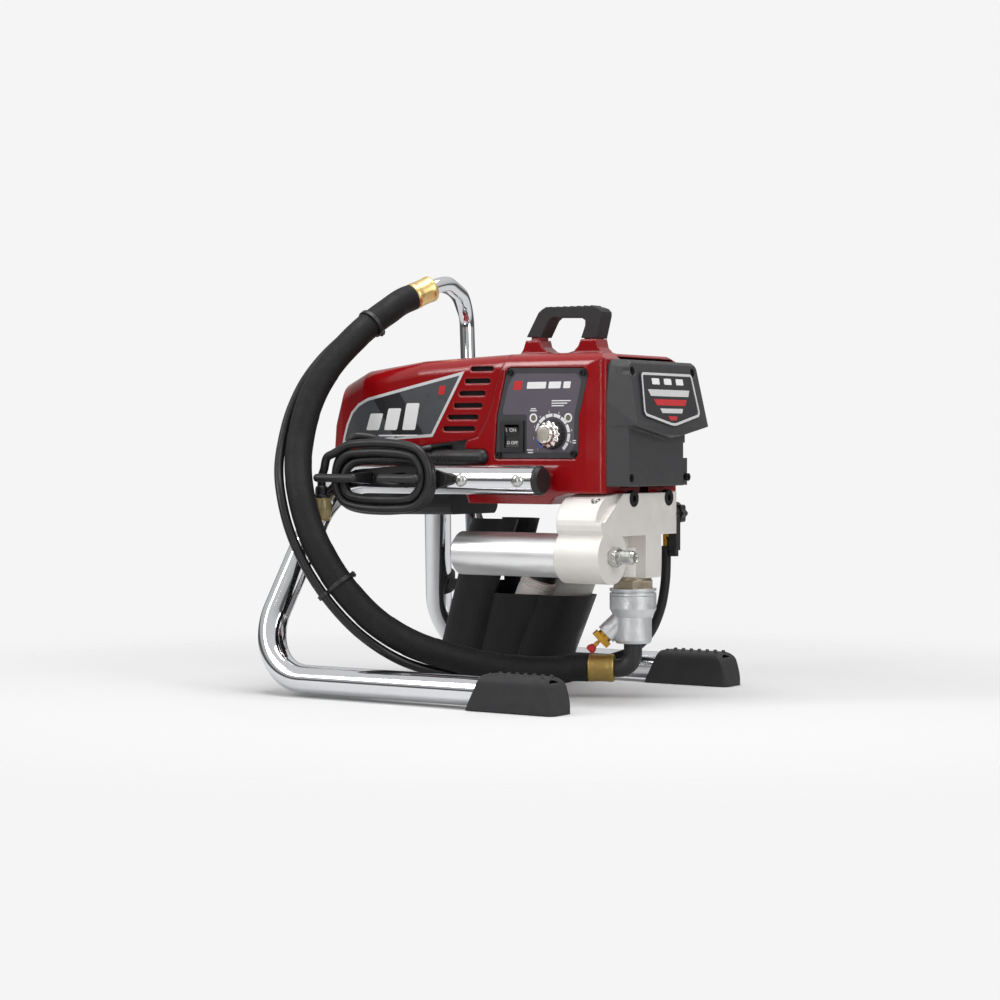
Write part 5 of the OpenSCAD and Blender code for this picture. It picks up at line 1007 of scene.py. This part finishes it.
# suction strainer: a sleeve of woven steel wire, held by moulded bands
strainer = {"x": -8, "radius": 20, "wires": 60, "wireDepth": 0.25, "waves": 3.5, "woven": (8, 102),
            "ringStep": 0.47, "rings": 200}


def strainerWeave(r, h, a):
    low, high = strainer["woven"]
    wave = math.cos(a * strainer["wires"]) * math.cos(h * strainer["waves"])
    return strainer["wireDepth"] * wave if low < h < high and r > 17 else 0


weaveStart = strainer["woven"][0]
strainerProfile = ([(18.5, 0.2), (19.8, 1.0), (20, 3), (20, 7), (19.4, 7.6)]
                   + [(19.3, weaveStart + i * strainer["ringStep"]) for i in range(strainer["rings"])]
                   + [(19.4, 102.4), (20, 103), (20, 109), (19.4, 110.4), (17, 112.6), (0.5, 112.9)])
strainerPlace = standPlace(strainer["x"], strainer["radius"])
suctionStrainer = lathe("suctionStrainer", strainerProfile, strainerPlace, lean, 180, 50, bump=strainerWeave)
addPiece(suctionStrainer, buildFinish("greyStrainerMesh", dict(
    # woven stainless wire cloth on grey nylon: glitters in specks, matt between
    colours=("#B4B2AE", "#8F8D8A"), patch=2.2, metal=0.4, rough=(0.3, 0.55), grain=(("cells", 1.6, 0.25),))))
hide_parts("inlet_strainer")
print("cup filled")


# pale paper under the object, which fades into the backdrop; sizes in metres
ground = {"colour": "#DCDCDC", "fade": (0.35, 0.9), "height": -0.0006, "firstRing": 0.12, "growth": 1.22,
          "rings": 18, "sides": 64}
bm = bmesh.new()
loops = []
for i in range(ground["rings"]):
    r = ground["firstRing"] * ground["growth"] ** i
    loops.append([bm.verts.new((x, y, ground["height"])) for x, y in circle(0, 0, r, ground["sides"])])
centre = bm.verts.new((0, 0, ground["height"]))
for k in range(ground["sides"]):
    following = (k + 1) % ground["sides"]
    bm.faces.new((centre, loops[0][k], loops[0][following]))
    for a, b in zip(loops, loops[1:]):
        bm.faces.new((a[k], b[k], b[following], a[following]))
floor = fromBmesh("floor", bm)
floorMaterial = bpy.data.materials.new("paleFloor")
floorMaterial.use_nodes = True
tree = floorMaterial.node_tree
tree.nodes.clear()
spread = addNode(tree, "VectorMath", {"operation": "LENGTH"}, in0=addNode(tree, "TexCoord").outputs["Object"])
fade = addNode(tree, "MapRange", {"interpolation_type": "SMOOTHSTEP"}, Value=spread.outputs["Value"],
               From_Min=ground["fade"][0], From_Max=ground["fade"][1])
paper = addNode(tree, "BsdfDiffuse", Color=hexToLinear(ground["colour"]))
clear = addNode(tree, "BsdfTransparent")
mix = addNode(tree, "MixShader", in0=fade.outputs[0], in1=paper.outputs[0], in2=clear.outputs[0])
addNode(tree, "OutputMaterial", Surface=mix.outputs[0])
setMaterial(floor, floorMaterial)

# the room: pale to the camera, soft to the surfaces, and with a dark horizon band for metal to mirror;
# sky is (height, grey level) from straight down, 0, to straight up, 1
room = {"backdrop": "#F5F5F5", "ambient": 0.5,
        "sky": [(0.0, 0.8), (0.4, 0.8), (0.46, 0.3), (0.485, 0.1), (0.55, 0.1), (0.585, 0.5), (0.75, 0.68),
                (1.0, 0.75)]}
world = bpy.data.worlds.new("studio")
scene.world = world
world.use_nodes = True
tree = world.node_tree
tree.nodes.clear()
way = addNode(tree, "SeparateXYZ", Vector=addNode(tree, "TexCoord").outputs["Generated"])
height = addNode(tree, "MapRange", Value=way.outputs["Z"], From_Min=-1, From_Max=1)
sky = addNode(tree, "ValToRGB", Fac=height.outputs[0])
while len(sky.color_ramp.elements) < len(room["sky"]):
    sky.color_ramp.elements.new(0.5)
for element, (position, level) in zip(sky.color_ramp.elements, room["sky"]):
    element.position, element.color = position, (level, level, level, 1)
light = addNode(tree, "LightPath")
seen = addNode(tree, "Background", Color=hexToLinear(room["backdrop"]), Strength=1.0)
mirrored = addNode(tree, "Background", Color=sky.outputs[0], Strength=1.0)
ambient = addNode(tree, "Background", Color=(1, 1, 1, 1), Strength=room["ambient"])
unseen = addNode(tree, "MixShader", in0=light.outputs["Is Glossy Ray"], in1=ambient.outputs[0],
                 in2=mirrored.outputs[0])
surface = addNode(tree, "MixShader", in0=light.outputs["Is Camera Ray"], in1=unseen.outputs[0],
                  in2=seen.outputs[0])
addNode(tree, "OutputWorld", Surface=surface.outputs[0])

# softboxes, as (place and size in metres, watts): on the left, over the object, on the front cover's side,
# and a low strip that draws the upright edges; all aim at the middle of the object
softBoxes = {
    "keyBox": ((-1.4, -1.75, 1.5), (0.5, 1.3), 18),
    "topBox": ((0.1, -0.1, 2.0), (1.2, 0.9), 24),
    "frontBox": ((2.0, -0.5, 0.9), (0.9, 1.3), 16),
    "stripBox": ((0.05, -2.5, 0.45), (0.14, 1.1), 7),
}
aim = Vector((0, 0, 0.2))
for name, (place, size, watts) in softBoxes.items():
    data = bpy.data.lights.new(name, "AREA")
    data.shape = "RECTANGLE"
    data.size, data.size_y = size
    data.energy = watts
    lamp = bpy.data.objects.new(name, data)
    lamp.location = place
    lamp.rotation_euler = (Vector(place) - aim).to_track_quat("Z", "Y").to_euler()
    scene.collection.objects.link(lamp)
scene.view_settings.view_transform = "Standard"
print("lights set")
